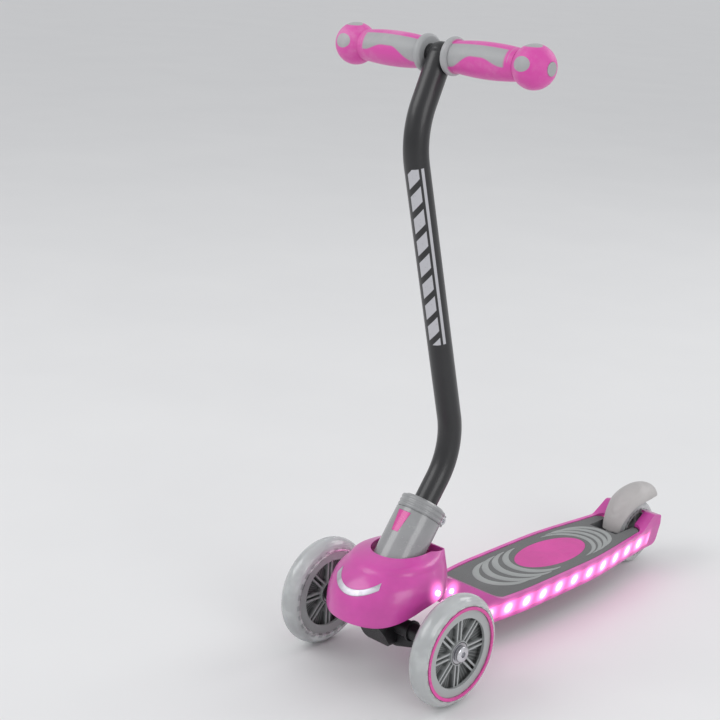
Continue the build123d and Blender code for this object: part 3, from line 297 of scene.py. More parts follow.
def grip_finish(name, core):
    """Soft rubber: grey where the angle round the bar lies in the band, pink elsewhere.

    The core is grey too at its flange and where it shows on the ball.
    """
    g = Graph(name)
    x, y, z = g.axes()
    angle = g.math("ARCTAN2", z - bar_z, bar_y - y)
    out = (abs(x) - grip_start) / BAND_LENGTH
    lower = 0.85 * g.soft_step(out, 0.0, 0.42) - 0.38 * g.soft_step(out, 0.58, 0.92) - 0.62
    band = g.soft_step(angle - lower, -0.05, 0.05) * g.soft_step(angle, 1.03, 0.93)
    band = band * g.soft_step(out, 0.97, 0.93)
    if core:
        band = 1 - g.soft_step(out, -0.01, 0.0) * g.soft_step(out, 1.0, 0.99) * (1 - band)
    dust = g.soft_step(g.noise(30.0, 5.0, 0.65), 0.45, 0.75)
    colour = g.blend(band, GRIP_PINK, tuple(1.15 * c for c in GREY))
    dusty = g.blend(dust * 0.25, colour, (0.75, 0.62, 0.70))
    skin = g.grain(1500.0) + 0.6 * g.noise(900.0, 2.0) + 1.5 * band
    return g.surface(Base_Color=dusty, Roughness=0.38 + 0.12 * dust,
                     Normal=g.bump(skin, 0.3, 0.0005), Sheen_Weight=0.08)


grip_pink = grip_finish("soft pink grip", False)
grip_grey = grip_finish("soft grey grip", True)
print("bar axis at Y", round(bar_y, 4), "Z", round(bar_z, 4))

# %% [markdown]
# ## Metal
# The stem is powder coated: nearly black, with the tiny pits that the powder leaves when it
# melts. Bolts and rods are zinc plated, so they get fine turned scratches round their axis.

# %% Steel and coated steel
def steel(name, colour, rough):
    """Bare or plated steel: smears and turning marks change its gloss."""
    g = Graph(name)
    smear = g.noise(90.0, 4.0, 0.6)
    turned = g.noise(900.0, 2.0, 0.5, (8.0, 1.0, 1.0))
    dull = tuple(0.72 * c for c in colour)
    return g.surface(Base_Color=g.blend(g.soft_step(smear, 0.4, 0.7), colour, dull), Metallic=1.0,
                     Roughness=rough + 0.18 * smear, Normal=g.bump(turned, 0.12, 0.0002))


bolt_steel = steel("bright bolts", (0.72, 0.72, 0.75), 0.14)
bearing_steel = steel("ground steel", (0.56, 0.56, 0.58), 0.24)
cell_metal = steel("cell sleeve", (0.20, 0.33, 0.52), 0.3)
print("metals ready")

# %% [markdown]
# ## Surfaces on a grid
# Each new skin is a grid of points: rows one way, columns the other. The helper joins every
# four neighbours with a face. It can close a direction into a ring, and cap open ends. Where a
# ring closes, the wrap jumps from 1 back to 0, so the faces there go on past 1 instead.

# %% From a grid of points to a mesh
def skin(name, points, ring=True, caps=False, flip=False, uv=None, material=None):
    """Mesh from an array rows x columns x 3; ring joins the last column to the first."""
    rows, columns = points.shape[:2]
    index = np.arange(rows * columns).reshape(rows, columns)
    after = np.roll(index, -1, axis=1) if ring else index[:, 1:]
    here = index if ring else index[:, :-1]
    faces = np.stack([here[:-1], after[:-1], after[1:], here[1:]], axis=-1).reshape(-1, 4)
    faces = faces[:, ::-1] if flip else faces
    mesh = bpy.data.meshes.new(name)
    polygons = faces.tolist()
    if caps:
        first, last = index[0].tolist(), index[-1].tolist()
        polygons += [first[::-1] if not flip else first, last if not flip else last[::-1]]
    mesh.from_pydata(points.reshape(-1, 3).tolist(), [], polygons)
    mesh.shade_smooth()
    if uv is not None:
        layer = mesh.uv_layers.new(name="wrap")
        corner = np.empty(len(mesh.loops), np.int32)
        mesh.loops.foreach_get("vertex_index", corner)
        wrapped = uv.reshape(-1, 2)[corner]
        quads = wrapped[:4 * len(faces)].reshape(-1, 4, 2)
        torn = np.ptp(quads[..., 0], axis=1) > 0.5
        quads[torn, :, 0] += quads[torn, :, 0] < 0.5
        layer.uv.foreach_set("vector", wrapped.astype(np.float32).ravel())
    piece = bpy.data.objects.new(name, mesh)
    bpy.context.scene.collection.objects.link(piece)
    if material is not None:
        mesh.materials.append(material)
    print(name, "faces", len(mesh.polygons))
    return piece


def tidy_sides(piece, sharp=35.0):
    """Turns every face outwards and keeps edges sharper than the angle crisp."""
    work = bmesh.new()
    work.from_mesh(piece.data)
    bmesh.ops.remove_doubles(work, verts=work.verts, dist=1e-6)
    bmesh.ops.recalc_face_normals(work, faces=work.faces)
    work.to_mesh(piece.data)
    work.free()
    piece.data.set_sharp_from_angle(angle=radians(sharp))
    return piece


def lathe(name, outline, centre, side=1.0, turns=160, material=None):
    """Solid of revolution about X: outline holds (distance along X, radius) in millimetres.

    point = centre + (side * along, radius * cos angle, radius * sin angle)
    """
    angle = np.linspace(0, 2 * np.pi, turns, endpoint=False)[:, None]
    along, radius = outline[None, :, 0] * MM, outline[None, :, 1] * MM
    round_x = [side * along + 0 * angle, radius * np.cos(angle), radius * np.sin(angle)]
    points = np.stack(round_x, axis=-1)
    closed = np.concatenate([points, points[:1]], axis=0) + np.array(centre)
    return tidy_sides(skin(name, closed, ring=True, material=material))


# %% [markdown]
# ## Tyres
# The front tyres are milky clear urethane with a round tread. Light enters the rim and glows
# out at the edges. Transmission would show too much of the hub, so it is partly clear, with
# subsurface light for the milk. The rear tyre is the same stuff on a smaller wheel.

# %% Clear urethane
RIM_LUGS = 26


def urethane(name, colour, centre, lug_low, lug_high):
    """Milky clear urethane: cloudy colour, a soft gloss and light that spreads inside.

    The rim's lugs show through as darker blocks: a square wave of the angle round the axle.
    """
    g = Graph(name)
    angle, radius = g.round_axle(centre)
    wave = g.math("SINE", angle * RIM_LUGS)
    lugs = g.soft_step(wave, -0.25, 0.25) * g.soft_step(radius, lug_high, lug_high - 0.0014)
    lugs = 0.55 * lugs + 0.45 * g.soft_step(radius, lug_low + 0.001, lug_low)
    cloud = g.noise(35.0, 3.0)
    swirl = g.soft_step(g.noise(70.0, 2.0, 0.5, (1.0, 0.4, 1.0)), 0.4, 0.75)
    pale = tuple(min(1.0, 1.2 * c) for c in colour)
    deep = tuple(0.45 * c for c in colour)
    milk = g.blend(lugs, g.blend(swirl, colour, pale), deep)
    height = g.noise(420.0, 3.0) + 0.5 * cloud
    return g.surface(Base_Color=milk, Roughness=0.12 + 0.1 * cloud,
                     Normal=g.bump(height, 0.08, 0.0004), Subsurface_Weight=0.25,
                     Subsurface_Radius=(0.008, 0.008, 0.009), Subsurface_Scale=1.0,
                     Transmission_Weight=0.45, IOR=1.46, Coat_Weight=0.6, Coat_Roughness=0.05)


tyre_clear = urethane("milky clear tyre", (0.66, 0.68, 0.685), axle_left, 0.0485, 0.0525)
rear_clear = urethane("milky clear rear tyre", (0.66, 0.68, 0.685), axle_rear, 0.0305, 0.0325)

# %% [markdown]
# The tyre's section is a D: flat on the rim, straight sides and a half circle for the tread.
# A shallow mould line runs round each shoulder. On the outer face a step takes the pink ring.

# %% Tyres with a step for the pink ring
tyre_low, tyre_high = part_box("front_tyre_left")
tyre_radius = (tyre_high.z - tyre_low.z) / 2 / MM
tyre_half = (tyre_high.x - tyre_low.x) / 2 / MM
trim_low, trim_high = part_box("front_trim_left")
trim_radius = (trim_high.z - trim_low.z) / 2 / MM
trim_depth = (trim_high.x - trim_low.x) / MM
rim_radius = 46.5
print("front tyre", round(tyre_radius, 1), "half width", round(tyre_half, 1))


def tread(radius, half, inner, step_radius, step_depth):
    """Section of a tyre in millimetres: (along X, radius) round the tread, sides and rim."""
    turn = np.linspace(0, np.pi, 40)
    crown = np.stack([half * np.cos(turn), radius - half + half * np.sin(turn)], axis=1)
    inside = [[-half, inner + 3], [-half + 1.5, inner]]
    groove = 0.35 * np.exp(-((np.abs(crown[:, 0]) - half * 0.72) / 0.5) ** 2)
    crown = crown - groove[:, None] * np.array([0.0, 1.0])
    crown = crown[(crown[:, 0] < 0) | (crown[:, 1] > step_radius + 0.4)]
    outside = [[half - step_depth, inner], [half - step_depth, step_radius]]
    return np.concatenate([crown, inside, outside])


front_section = tread(tyre_radius, tyre_half, rim_radius, trim_radius + 0.2, trim_depth + 0.2)
for side, word, centre in ((1, "left", axle_left), (-1, "right", axle_right)):
    tyre = lathe(f"round_tyre_{word}", front_section, centre, side, 200, tyre_clear)
    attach(tyre, f"front_wheel_{word}")
    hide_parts(f"front_tyre_{word}")
rear_low, rear_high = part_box("rear_tyre")
rear_radius = (rear_high.z - rear_low.z) / 2 / MM
rear_half = (rear_high.x - rear_low.x) / 2 / MM
rear_rim, bend = 29.0, 8.0
turn = np.linspace(0, np.pi / 2, 14)
shoulder = np.stack([rear_half - bend + bend * np.cos(turn),
                     rear_radius - bend + bend * np.sin(turn)], axis=1)
rim_line = [[-rear_half, rear_rim], [rear_half, rear_rim]]
rear_section = np.concatenate([shoulder, shoulder[::-1] * [-1, 1], rim_line])
rear_piece = lathe("round_tyre_rear", rear_section, axle_rear, 1, 160, rear_clear)
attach(rear_piece, "rear_wheel")
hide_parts("rear_tyre")

# %% [markdown]
# ## Front hubs
# Eight pairs of thin spokes stand on a sunken web with fine radial ribs of its own. The hub keeps
# its mesh. Its material reads how far a point is from the wheel's middle plane, which puts painted
# shade on the deep web, with the ribs on it painted less dark. It also reads the angle round the
# axle, which raises the fine ribs. The cup round the bearing is painted near black as shade. The
# rear hub gets the same finish round its own axle.

# %% Hub material
WEB_RIBS = 64
HUB_GREY = (0.37, 0.385, 0.385)


def hub_finish(name, middle_x, centre, colour):
    """Grey casting with radial ribs by angle round the axle; painted shade darkens the sunken web and the cup."""
    g = Graph(name)
    depth = abs(abs(g.axes()[0]) - middle_x)
    angle, radius = g.round_axle(centre)
    shaded_web = g.soft_step(depth, 0.0075, 0.0035) * g.soft_step(radius, 0.0125, 0.0135)
    shaded_web = shaded_web * g.soft_step(radius, 0.0440, 0.0432)
    ribs = g.soft_step(g.math("SINE", angle * WEB_RIBS), 0.1, 0.7) * shaded_web
    cloud = g.noise(60.0, 4.0)
    # Painted shade: the sunken web near the middle plane is darkened, and its ribs less so.
    deep = tuple(0.34 * c for c in colour)
    rib_shade_colour = tuple(0.66 * c for c in colour)
    base = g.blend(shaded_web, colour, g.blend(ribs, deep, rib_shade_colour))
    # Painted shade: the cup round the bearing is made near black.
    bearing_cup_shade = g.window(radius, 0.0088, 0.0124, 0.0006)
    base = g.blend(bearing_cup_shade, base, (0.03, 0.03, 0.035))
    return g.surface(Base_Color=base, Roughness=0.28 + 0.2 * cloud, Coat_Weight=0.25,
                     Normal=g.bump(ribs + 0.2 * g.noise(500.0, 2.0), 0.5, 0.0006))


hub_grey = hub_finish("grey front hub", abs(axle_left[0]), axle_left, HUB_GREY)
rear_hub_grey = hub_finish("grey rear hub", 0.0, axle_rear, HUB_GREY)
print("hubs ready")

# %% [markdown]
# ## The S-bent stem
# A curve object with a bevel would give a tube, but its wrap for the printed bars would be
# hard to control. So the tube is computed: a centreline of straight runs and arcs, and a ring
# of points round each place on it. Two numbers go with each point as its wrap: the angle round
# the tube and the distance along it.

# %% Centreline of straight runs and arcs
def bent_line(corners, radii, step=2.0):
    """Points along straight runs joined by arcs of the given radii, and the unit direction at each.

    An arc that turns by angle t starts radius * tan(t / 2) before its corner.
    """
    corners = [np.array(c, float) for c in corners]
    here, points, ways = corners[0], [], []
    for number, radius in enumerate([*radii, None]):
        corner = corners[number + 1]
        way = (corner - here) / np.linalg.norm(corner - here)
        if radius is None:
            stop = corner
        else:
            onward = corners[number + 2] - corner
            onward = onward / np.linalg.norm(onward)
            turn = np.arccos(np.clip(way @ onward, -1, 1))
            stop = corner - way * radius * np.tan(turn / 2)
        count = max(int(np.linalg.norm(stop - here) / step), 2)
        share = np.linspace(0, 1, count, endpoint=False)[:, None]
        points.append(here + (stop - here) * share)
        ways.append(np.repeat(way[None], count, axis=0))
        if radius is not None:
            inward = onward - way * (way @ onward)
            inward = inward / np.linalg.norm(inward)
            count = max(int(turn * radius / step), 4)
            swing = np.linspace(0, turn, count, endpoint=False)[:, None]
            points.append(stop + radius * (np.sin(swing) * way + (1 - np.cos(swing)) * inward))
            ways.append(np.cos(swing) * way + np.sin(swing) * inward)
            here = corner + onward * radius * np.tan(turn / 2)
    points.append(corners[-1][None])
    ways.append(way[None])
    return np.concatenate(points), np.concatenate(ways)


def line_mm(along):
    """Place on the steering line, in millimetres from the front axle and the floor."""
    start = np.array([0.0, (foot[1] - axle_y) / MM, foot[2] / MM])
    return start + steer_line * along


bar_centre = np.array([0.0, (bar_y - axle_y) / MM, bar_z / MM])
stem_low, stem_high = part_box("stem")
stem_radius = (stem_high.x - stem_low.x) / 2 / MM
stem_foot, lower_bend, upper_bend = line_mm(8.0), line_mm(123.2), [0, -3.0, 568.0]
bend_radii = [78.0, 90.0]
middle, way = bent_line([stem_foot, lower_bend, upper_bend, bar_centre], bend_radii)
print("stem radius", round(stem_radius, 2), "length", round(len(middle) * 2.0))

# %% The stem's tube with a round top
angle = np.linspace(0, 2 * np.pi, 64, endpoint=False)
sideways = np.array([1.0, 0.0, 0.0])
dome = np.linspace(0, np.pi / 2 * 0.98, 10)
dome_middle = middle[-1] + np.sin(dome)[:, None] * stem_radius * way[-1]
centres = np.concatenate([middle, dome_middle])
ways = np.concatenate([way, np.repeat(way[-1:], len(dome), axis=0)])
reach = np.concatenate([np.full(len(middle), stem_radius), stem_radius * np.cos(dome)])
normal = np.cross(sideways, ways)
ring_points = (centres[:, None] + reach[:, None, None] * (
    np.cos(angle)[None, :, None] * sideways + np.sin(angle)[None, :, None] * normal[:, None]))
ring_points[..., 1] += axle_y / MM
steps = np.linalg.norm(np.diff(centres, axis=0), axis=1)
along = np.concatenate([[0], np.cumsum(steps)])
wrap = np.stack(np.broadcast_arrays(angle[None, :] / (2 * np.pi), along[:, None] * MM), axis=-1)

# %% [markdown]
# The real stem carries a silver print. Here it is a plain pattern: short slanted bars in a row
# with one long bar beside them. The wrap's first number says where round the tube a point is,
# from 0 to 1, and the second how far up it is, in metres. So the bars are windows on those two
# numbers, and adding a little of the first to the second makes the short ones slant.

# %% Powder coat with plain silver bars
def stem_finish():
    """Near-black powder coat; slanted silver bars where the wrap falls inside each window."""
    g = Graph("satin black stem with silver bars")
    uv = g.node("ShaderNodeUVMap", {"uv_map": "wrap"})
    split = g.node("ShaderNodeSeparateXYZ", inputs={0: uv}).socket.node
    turn, up = Wire(g, split.outputs[0]), Wire(g, split.outputs[1])
    dash_pitch = 0.0235
    slant = (up + 0.075 * turn) % dash_pitch
    dashes = g.window(slant, 0.004, 0.0205, 0.0006) * g.window(turn, 0.110, 0.270, 0.007)
    long_bar = g.window(turn, 0.040, 0.085, 0.007)
    print_mask = g.window(up, 0.238, 0.4286, 0.0006) * (dashes + long_bar)
    worn = g.soft_step(g.noise(420.0, 4.0, 0.7), 0.3, 0.42)
    silver = print_mask * (0.75 + 0.25 * worn)
    pits = g.grain(1800.0) + 0.7 * g.noise(700.0, 2.0)
    cloud = g.noise(40.0, 4.0)
    black = g.blend(cloud, (0.006, 0.006, 0.007), (0.013, 0.013, 0.015))
    base = g.blend(silver, black, (0.50, 0.50, 0.53))
    return g.surface(Base_Color=base, Roughness=0.3 + 0.1 * cloud + 0.1 * silver,
                     Normal=g.bump(pits * (1 - silver) + 3.0 * silver, 0.25, 0.0003),
                     Coat_Weight=0.25, Coat_Roughness=0.15)


stem_black = stem_finish()
coat_black = moulded("satin black crossbar", (0.010, 0.010, 0.011), 0.32, 0.2, 0.3,
                     Coat_Weight=0.25)
stem_piece = skin("stem_tube", ring_points * MM, ring=True, caps=True, flip=True,
                  uv=wrap, material=stem_black)
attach(stem_piece, "steering")
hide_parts("stem")

# %% [markdown]
# ## The hood
# The hood is the round pink nose between the front wheels, with a collar on top that wraps the
# sleeve. Its plan at any height is a D: a round nose and a flat back. So the surface is a
# function of height and of the angle round it, with a width, a front and a back that change
# with height. Smooth curves through a few heights give each of them.

# %% Hood as a D that changes with height
def through(heights, values, at_heights):
    """Smooth curve through a few values: a cubic with each slope set by its neighbours."""
    heights, values = np.array(heights, float), np.array(values, float)
    slope = np.gradient(values, heights)
    index = np.clip(np.searchsorted(heights, at_heights) - 1, 0, len(heights) - 2)
    width = heights[index + 1] - heights[index]
    t = (at_heights - heights[index]) / width
    h00, h10 = 2 * t ** 3 - 3 * t ** 2 + 1, t ** 3 - 2 * t ** 2 + t
    h01, h11 = -2 * t ** 3 + 3 * t ** 2, t ** 3 - t ** 2
    return (h00 * values[index] + h10 * width * slope[index]
            + h01 * values[index + 1] + h11 * width * slope[index + 1])


# Heights above the floor, and at each the half width, the Y of the widest place, the nose, the
# back and the half width at the rear corners, in millimetres.
levels = [64.0, 74.0, 90.0, 106.0, 118.0, 126.0, 134.0, 137.5]
half_at = [48.0, 56.0, 59.0, 58.0, 54.0, 47.5, 40.0, 29.5]
widest_at = [0.0, 0.0, 3.0, 6.0, 8.0, 10.0, 12.0, 19.0]
front_at = [-54.0, -64.0, -66.4, -62.0, -53.0, -43.0, -30.0, -17.0]
back_at = [38.0, 42.0, 47.0, 50.0, 53.0, 54.0, 54.4, 54.5]
corner_at = [38.0, 42.0, 41.0, 38.0, 33.0, 30.0, 27.5, 26.5]


def hood_points(height, around):
    """Point of the hood for a height and an angle, both in arrays; angle 0 is the nose.

    To the widest place, x = half * sin^0.95 and y = middle - (middle - front) * cos^0.95.
    From there x eases to the rear corner while y follows a sine to the back, and the last
    tenth of the turn runs straight across the back.
    """
    half, middle = through(levels, half_at, height), through(levels, widest_at, height)
    front, back = through(levels, front_at, height), through(levels, back_at, height)
    corner = through(levels, corner_at, height)
    turn, quarter = np.abs(around), np.pi / 2
    nose = np.minimum(turn, quarter)
    nose_x = half * np.sin(nose) ** 0.95
    nose_y = middle - (middle - front) * np.abs(np.cos(nose)) ** 0.95
    to_corner = np.clip((turn - quarter) / (np.pi * 0.40), 0, 1)
    across = np.clip((turn - np.pi * 0.90) / (np.pi * 0.10), 0, 1)
    ease = 3 * to_corner ** 2 - 2 * to_corner ** 3
    side_x = (half + (corner - half) * ease) * (1 - across)
    side_y = middle + (back - middle) * np.sin(to_corner * quarter)
    x, y = np.where(turn < quarter, nose_x, side_x), np.where(turn < quarter, nose_y, side_y)
    return np.stack(np.broadcast_arrays(np.sign(around) * x, y, height), axis=-1)


def hood_hem(around):
    """Height of the lower edge: low under the nose, rising over the wheel beams to the back."""
    y = hood_points(np.full_like(around, 84.0), around)[..., 1]
    return through([-80.0, -50.0, -25.0, -10.0, 5.0, 24.0, 60.0],
                   [79.0, 80.0, 89.0, 95.0, 98.0, 100.0, 100.5], y)


def hood_rim(around):
    """Height of the top edge: level round the sleeve, sloping down a little behind it."""
    y = hood_points(np.full_like(around, 137.5), around)[..., 1]
    return np.minimum(137.5, 137.8 - 0.15 * (y - 30.0))


around = np.linspace(-np.pi, np.pi, 361)[:-1]
share = np.linspace(0, 1, 90)[:, None] ** 1.35
hem, rim = hood_hem(around)[None, :], hood_rim(around)[None, :]
height = rim + (hem - rim) * share
hood_shape = hood_points(height, np.broadcast_to(around[None, :], height.shape))
print("hood height", round(float(hem.min()), 1), "to", round(float(rim.max()), 1))

# %% [markdown]
# The shape becomes a wall by a Solidify modifier that thickens it inwards, and a small Bevel
# breaks the hem's edges as a mould would. The hood and the deck's skirt are one pink, a little
# clear, so light sinks in before it comes back. Subsurface light gives that depth, and a thin
# coat gives the highlight. Lamps shine through: round single ones on the hood and the neck, and
# a row of eleven along the skirt, so the distance to the nearest one is a remainder.

# %% A pink skin with light behind it
PINK = (0.62, 0.068, 0.385)
LAMP_PITCH = 0.0296
FIRST_LAMP_Y = axle_y + 0.122
LAMP_Z = 0.0415


def nearest_lamp(y, z):
    """Distance to the nearest lamp of the row, along the deck, and the height above the row."""
    along = (y - (FIRST_LAMP_Y - LAMP_PITCH / 2)) % LAMP_PITCH - LAMP_PITCH / 2
    return abs(along), z - LAMP_Z


def lit_pink(name, lamps, strip=False):
    """Pink moulding that glows: round each lamp by distance, and all along the lit side wall."""
    g = Graph(name)
    x, y, z = g.axes()
    side, glow = abs(x), 0.0
    for lamp in lamps:
        away = g.length(side - lamp[0], y - lamp[1], z - lamp[2])
        glow = glow + g.soft_step(away, 0.020, 0.002)
    if strip:
        along, rise = nearest_lamp(y, z)
        spot = g.soft_step(g.length(along, rise), 0.019, 0.006)
        wall = g.soft_step(abs(rise), 0.024, 0.006) * g.soft_step(y, axle_y + 0.085, axle_y + 0.115)
        lit = g.soft_step(side, 0.030, 0.034) * g.soft_step(y, axle_y + 0.448, axle_y + 0.440)
        glow = glow + wall * lit * (0.32 + 0.4 * spot)
    tint, scuff, cloud = scuffed(g, PINK)
    shine = g.blend(glow * glow, (0.0, 0.0, 0.0), (1.0, 0.22, 0.62))
    return g.surface(Base_Color=tint, Roughness=0.27 + 0.12 * scuff + 0.05 * cloud,
                     Normal=g.bump(g.noise(260.0, 2.0), 0.04, 0.0004),
                     Coat_Weight=0.35, Coat_Roughness=0.1, Subsurface_Weight=0.12,
                     Subsurface_Radius=(0.006, 0.001, 0.003), Subsurface_Scale=1.0,
                     Emission_Color=shine, Emission_Strength=1.6)


hood_lamp = at(57.5, 12.0, 106.7)
neck_lamp = at(40.0, 56.0, 89.0)
hood_pink = lit_pink("lit pink hood", [hood_lamp])
deck_pink = lit_pink("lit pink skirt", [neck_lamp], strip=True)

# %% The hood as a wall
lift = np.array([0.0, axle_y / MM, 0.0])
hood = skin("hood_skin", (hood_shape + lift) * MM, ring=True, flip=True, material=hood_pink)
wall = hood.modifiers.new("wall", "SOLIDIFY")
wall.thickness, wall.offset = 2.1 * MM, -1.0
edge = hood.modifiers.new("edge", "BEVEL")
edge.width, edge.segments, edge.limit_method, edge.angle_limit = 0.8 * MM, 2, "ANGLE", radians(50)
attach(hood, "deck")
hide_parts("front_hood")

# %% [markdown]
# The hood's badge is a plain silver band that follows the nose. It is a patch of the same
# surface, between two heights that dip in the middle, lifted off by a third of a millimetre.

# %% Badge band on the nose
band_turn = np.linspace(-0.54, 0.54, 60)[None, :]
band_rise = np.linspace(1, -1, 12)[:, None]
band_x = hood_points(np.full_like(band_turn, 112.0), band_turn)[..., 0]
band_height = 109.5 + 8.0 * (band_x / 27.0) ** 2 + 2.9 * band_rise
band = hood_points(band_height, np.broadcast_to(band_turn, band_height.shape))
across, down = np.gradient(band, axis=1), np.gradient(band, axis=0)
outward = np.cross(down, across)
outward = outward / np.linalg.norm(outward, axis=-1, keepdims=True)
badge_silver = steel("silver band", (0.62, 0.60, 0.66), 0.30)
badge = skin("hood_band", (band + 0.35 * outward + lift) * MM, ring=False, flip=True,
             material=badge_silver)
wall = badge.modifiers.new("wall", "SOLIDIFY")
wall.thickness, wall.offset = 0.8 * MM, -1.0
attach(badge, "deck")
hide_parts("hood_badge")

# %% [markdown]
# ## The foot brake
# The brake is a spoon over the rear wheel: a narrow neck that climbs from the deck, a wider
# bowl and a thick round tip. One line in the middle plane gives its climb. A width goes with
# each place on that line, and the section is a flat oval that droops at both edges. Two rings
# are pressed into the bowl.

# %% Spoon-shaped brake
def spoon(rows=90, columns=72):
    """Grid of the brake: place = line + across * x + outward * lift, in millimetres.

    lift = half thickness * sin - droop * (x / half width)^2, less ring-shaped grooves on top.
    """
    stops = np.linspace(0, 1, 9)
    t = np.sin(np.linspace(0, 1, rows) * np.pi / 2)
    y = through(stops, [406.5, 408.5, 414.5, 426.0, 441.0, 457.0, 471.0, 482.0, 490.0], t)
    z = through(stops, [48.0, 60.5, 74.5, 87.5, 95.0, 97.5, 96.0, 91.5, 85.0], t)
    half = through(stops, [12.5, 14.0, 16.5, 19.5, 21.5, 22.0, 21.0, 19.0, 16.5], t)
    thick = through(stops, [1.6, 1.7, 1.8, 1.9, 2.0, 2.2, 2.6, 3.2, 3.4], t)
    droop = through(stops, [2.0, 3.0, 6.0, 9.0, 11.5, 12.0, 10.5, 8.0, 6.0], t)
    along = np.stack([np.gradient(y), np.gradient(z)], axis=1)
    along = along / np.linalg.norm(along, axis=1, keepdims=True)
    tip = np.sqrt(np.clip(1 - np.clip((t - 0.80) / 0.20, 0, 1) ** 2, 0, 1))
    base = np.sqrt(np.clip(1 - np.clip((0.02 - t) / 0.02, 0, 1) ** 2, 0, 1))
    half = half * (0.02 + 0.98 * tip * base)
    thick = thick * (0.05 + 0.95 * np.sqrt(tip * base))
    turn = np.linspace(0, 2 * np.pi, columns, endpoint=False)[None, :]
    across = np.sign(np.cos(turn)) * np.abs(np.cos(turn)) ** 0.8
    x = half[:, None] * across
    ring = np.hypot(across, (t[:, None] - 0.45) / 0.33)
    grooves = np.exp(-((ring - 0.42) / 0.05) ** 2) + np.exp(-((ring - 0.74) / 0.05) ** 2)
    grooves = 0.5 * grooves * np.clip(np.sin(turn), 0, 1)
    lift = thick[:, None] * np.sin(turn) - (droop * tip)[:, None] * across ** 2 - grooves
    up_y, up_z = -along[:, 1][:, None], along[:, 0][:, None]
    grid = np.stack([x, y[:, None] + up_y * lift, z[:, None] + up_z * lift], axis=-1)
    return (grid + np.array([0.0, axle_y / MM, 0.0])) * MM


brake = tidy_sides(skin("brake_spoon", spoon(), ring=True, caps=True, material=brake_grey), 60.0)
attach(brake, "brake")
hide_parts("brake_fender")

# %% [markdown]
# ## Rings of the clamp collar
# Three round ridges run round the collar, for the fingers. The surface turns a wavy line round
# the steering line, and its foot is sunk in the collar, so each ridge rises out of it.

# %% Three rings round the steering line
collar_mesh = nodes["clamp_collar"].data
collar_places = np.empty(3 * len(collar_mesh.vertices), np.float32)
collar_mesh.vertices.foreach_get("co", collar_places)
collar_along = (collar_places.reshape(-1, 3) - foot) @ steer_line
collar_low, collar_high = collar_along.min(), collar_along.max()
box_low, box_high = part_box("clamp_collar")
collar_radius = (box_high.x - box_low.x) / 2


def collar_rings(count=3, rise=0.0012):
    """Grid round the steering line: radius = collar + rise * |sin(count * pi * share)|^0.7."""
    share = np.linspace(0, 1, 60)
    wave = np.abs(np.sin(count * np.pi * share)) ** 0.7
    radius = collar_radius - 0.0006 + rise * wave
    height = collar_low + 0.0008 + (collar_high - collar_low - 0.0024) * share
    radius = np.concatenate([radius, [collar_radius - 0.0022] * 2, radius[:1]])
    height = np.concatenate([height, height[[-1, 0]], height[:1]])
    turn = np.linspace(0, 2 * np.pi, 144, endpoint=False)[None, :, None]
    second = np.cross(steer_line, [1.0, 0.0, 0.0])
    spread = np.cos(turn) * np.array([1.0, 0.0, 0.0]) + np.sin(turn) * second
    return foot + height[:, None, None] * steer_line + radius[:, None, None] * spread


rings = tidy_sides(skin("collar_rings", collar_rings(), ring=True, material=sleeve_grey), 60.0)
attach(rings, "steering")
print("collar radius", round(collar_radius, 4))

# %% [markdown]
# ## Ridges of the foot mat
# Ahead of and behind the oval lie four crescents like ripples. Each is the front of an ellipse,
# widest in the middle and drawn out to a point at both ends, with a low round section.

# %% Crescents round the oval
oval_low, oval_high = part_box("mat_badge")
mat_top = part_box("deck_mat")[1].z / MM
oval_y = (oval_low.y + oval_high.y) / 2 / MM
oval_long = (oval_high.y - oval_low.y) / 2 / MM
oval_wide = (oval_high.x - oval_low.x) / 2 / MM


def crescent(direction, tip, half, width, long=44.0):
    """Grid of one ridge, in metres.

    Middle line: x = half * sin s, y = oval + direction * (tip - long + long * cos s). Across it,
    the section is a half circle squashed to 0.8 mm high and width * cos^0.8 s wide.
    """
    s = np.linspace(-0.97, 0.97, 61)[:, None] * np.pi / 2
    x, y = half * np.sin(s), oval_y + direction * (tip - long + long * np.cos(s))
    away = np.stack([np.sin(s) / half, direction * np.cos(s) / long], axis=-1)
    away = away / np.linalg.norm(away, axis=-1, keepdims=True)
    turn = np.linspace(0, 2 * np.pi, 16, endpoint=False)[None, :]
    reach = (width / 2 * np.cos(s) ** 0.8 + 0.1) * np.cos(turn)
    up = np.where(np.sin(turn) > 0, 0.8, 0.3) * np.sin(turn) + 0 * s
    flat = np.stack([x + away[..., 0] * reach, y + away[..., 1] * reach], axis=-1)
    return np.concatenate([flat, (mat_top + up)[..., None]], axis=-1) * MM


for word, direction, pitch, width in (("front", -1, 18.5, 9.5), ("rear", 1, 11.5, 6.5)):
    for number in range(4):
        tip = oval_long + 9 + pitch * number
        half = oval_wide + 6 + 1.8 * number - 0.8 * number ** 2
        ridge = skin(f"mat_ridge_{word}_{number + 1}", crescent(direction, tip, half, width),
                     ring=True, caps=True, material=mat_light)
        tidy_sides(ridge, 80.0)
        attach(ridge, "deck")
        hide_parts("mat_arcs")

# %% [markdown]
# ## Light strips
# Eleven lamps shine through a clear pink window along each side. Each one is a white-hot spot
# with a pink halo, by the distance to the nearest lamp of the same row as the skirt's glow.

# %% Glow of the windows and the lamps
def strip_finish():
    """Clear pink window: emission falls from white to pink with distance from the nearest lamp."""
    g = Graph("lit window")
    y, z = g.axes()[1:]
    away = g.length(*nearest_lamp(y, z))
    halo = g.soft_step(away, 0.0150, 0.002)
    hot = g.soft_step(away, 0.0085, 0.0005)
    cloud = g.noise(180.0, 3.0)
    pink = g.blend(halo, (0.25, 0.035, 0.13), (0.85, 0.20, 0.50))
    colour = g.blend(hot, pink, (1.0, 0.80, 0.93))
    return g.surface(Base_Color=(0.8, 0.10, 0.42, 1), Roughness=0.12 + 0.1 * cloud, Coat_Weight=0.5,
                     Emission_Color=colour, Emission_Strength=2.4,
                     Normal=g.bump(g.noise(300.0, 2.0), 0.08, 0.0004))


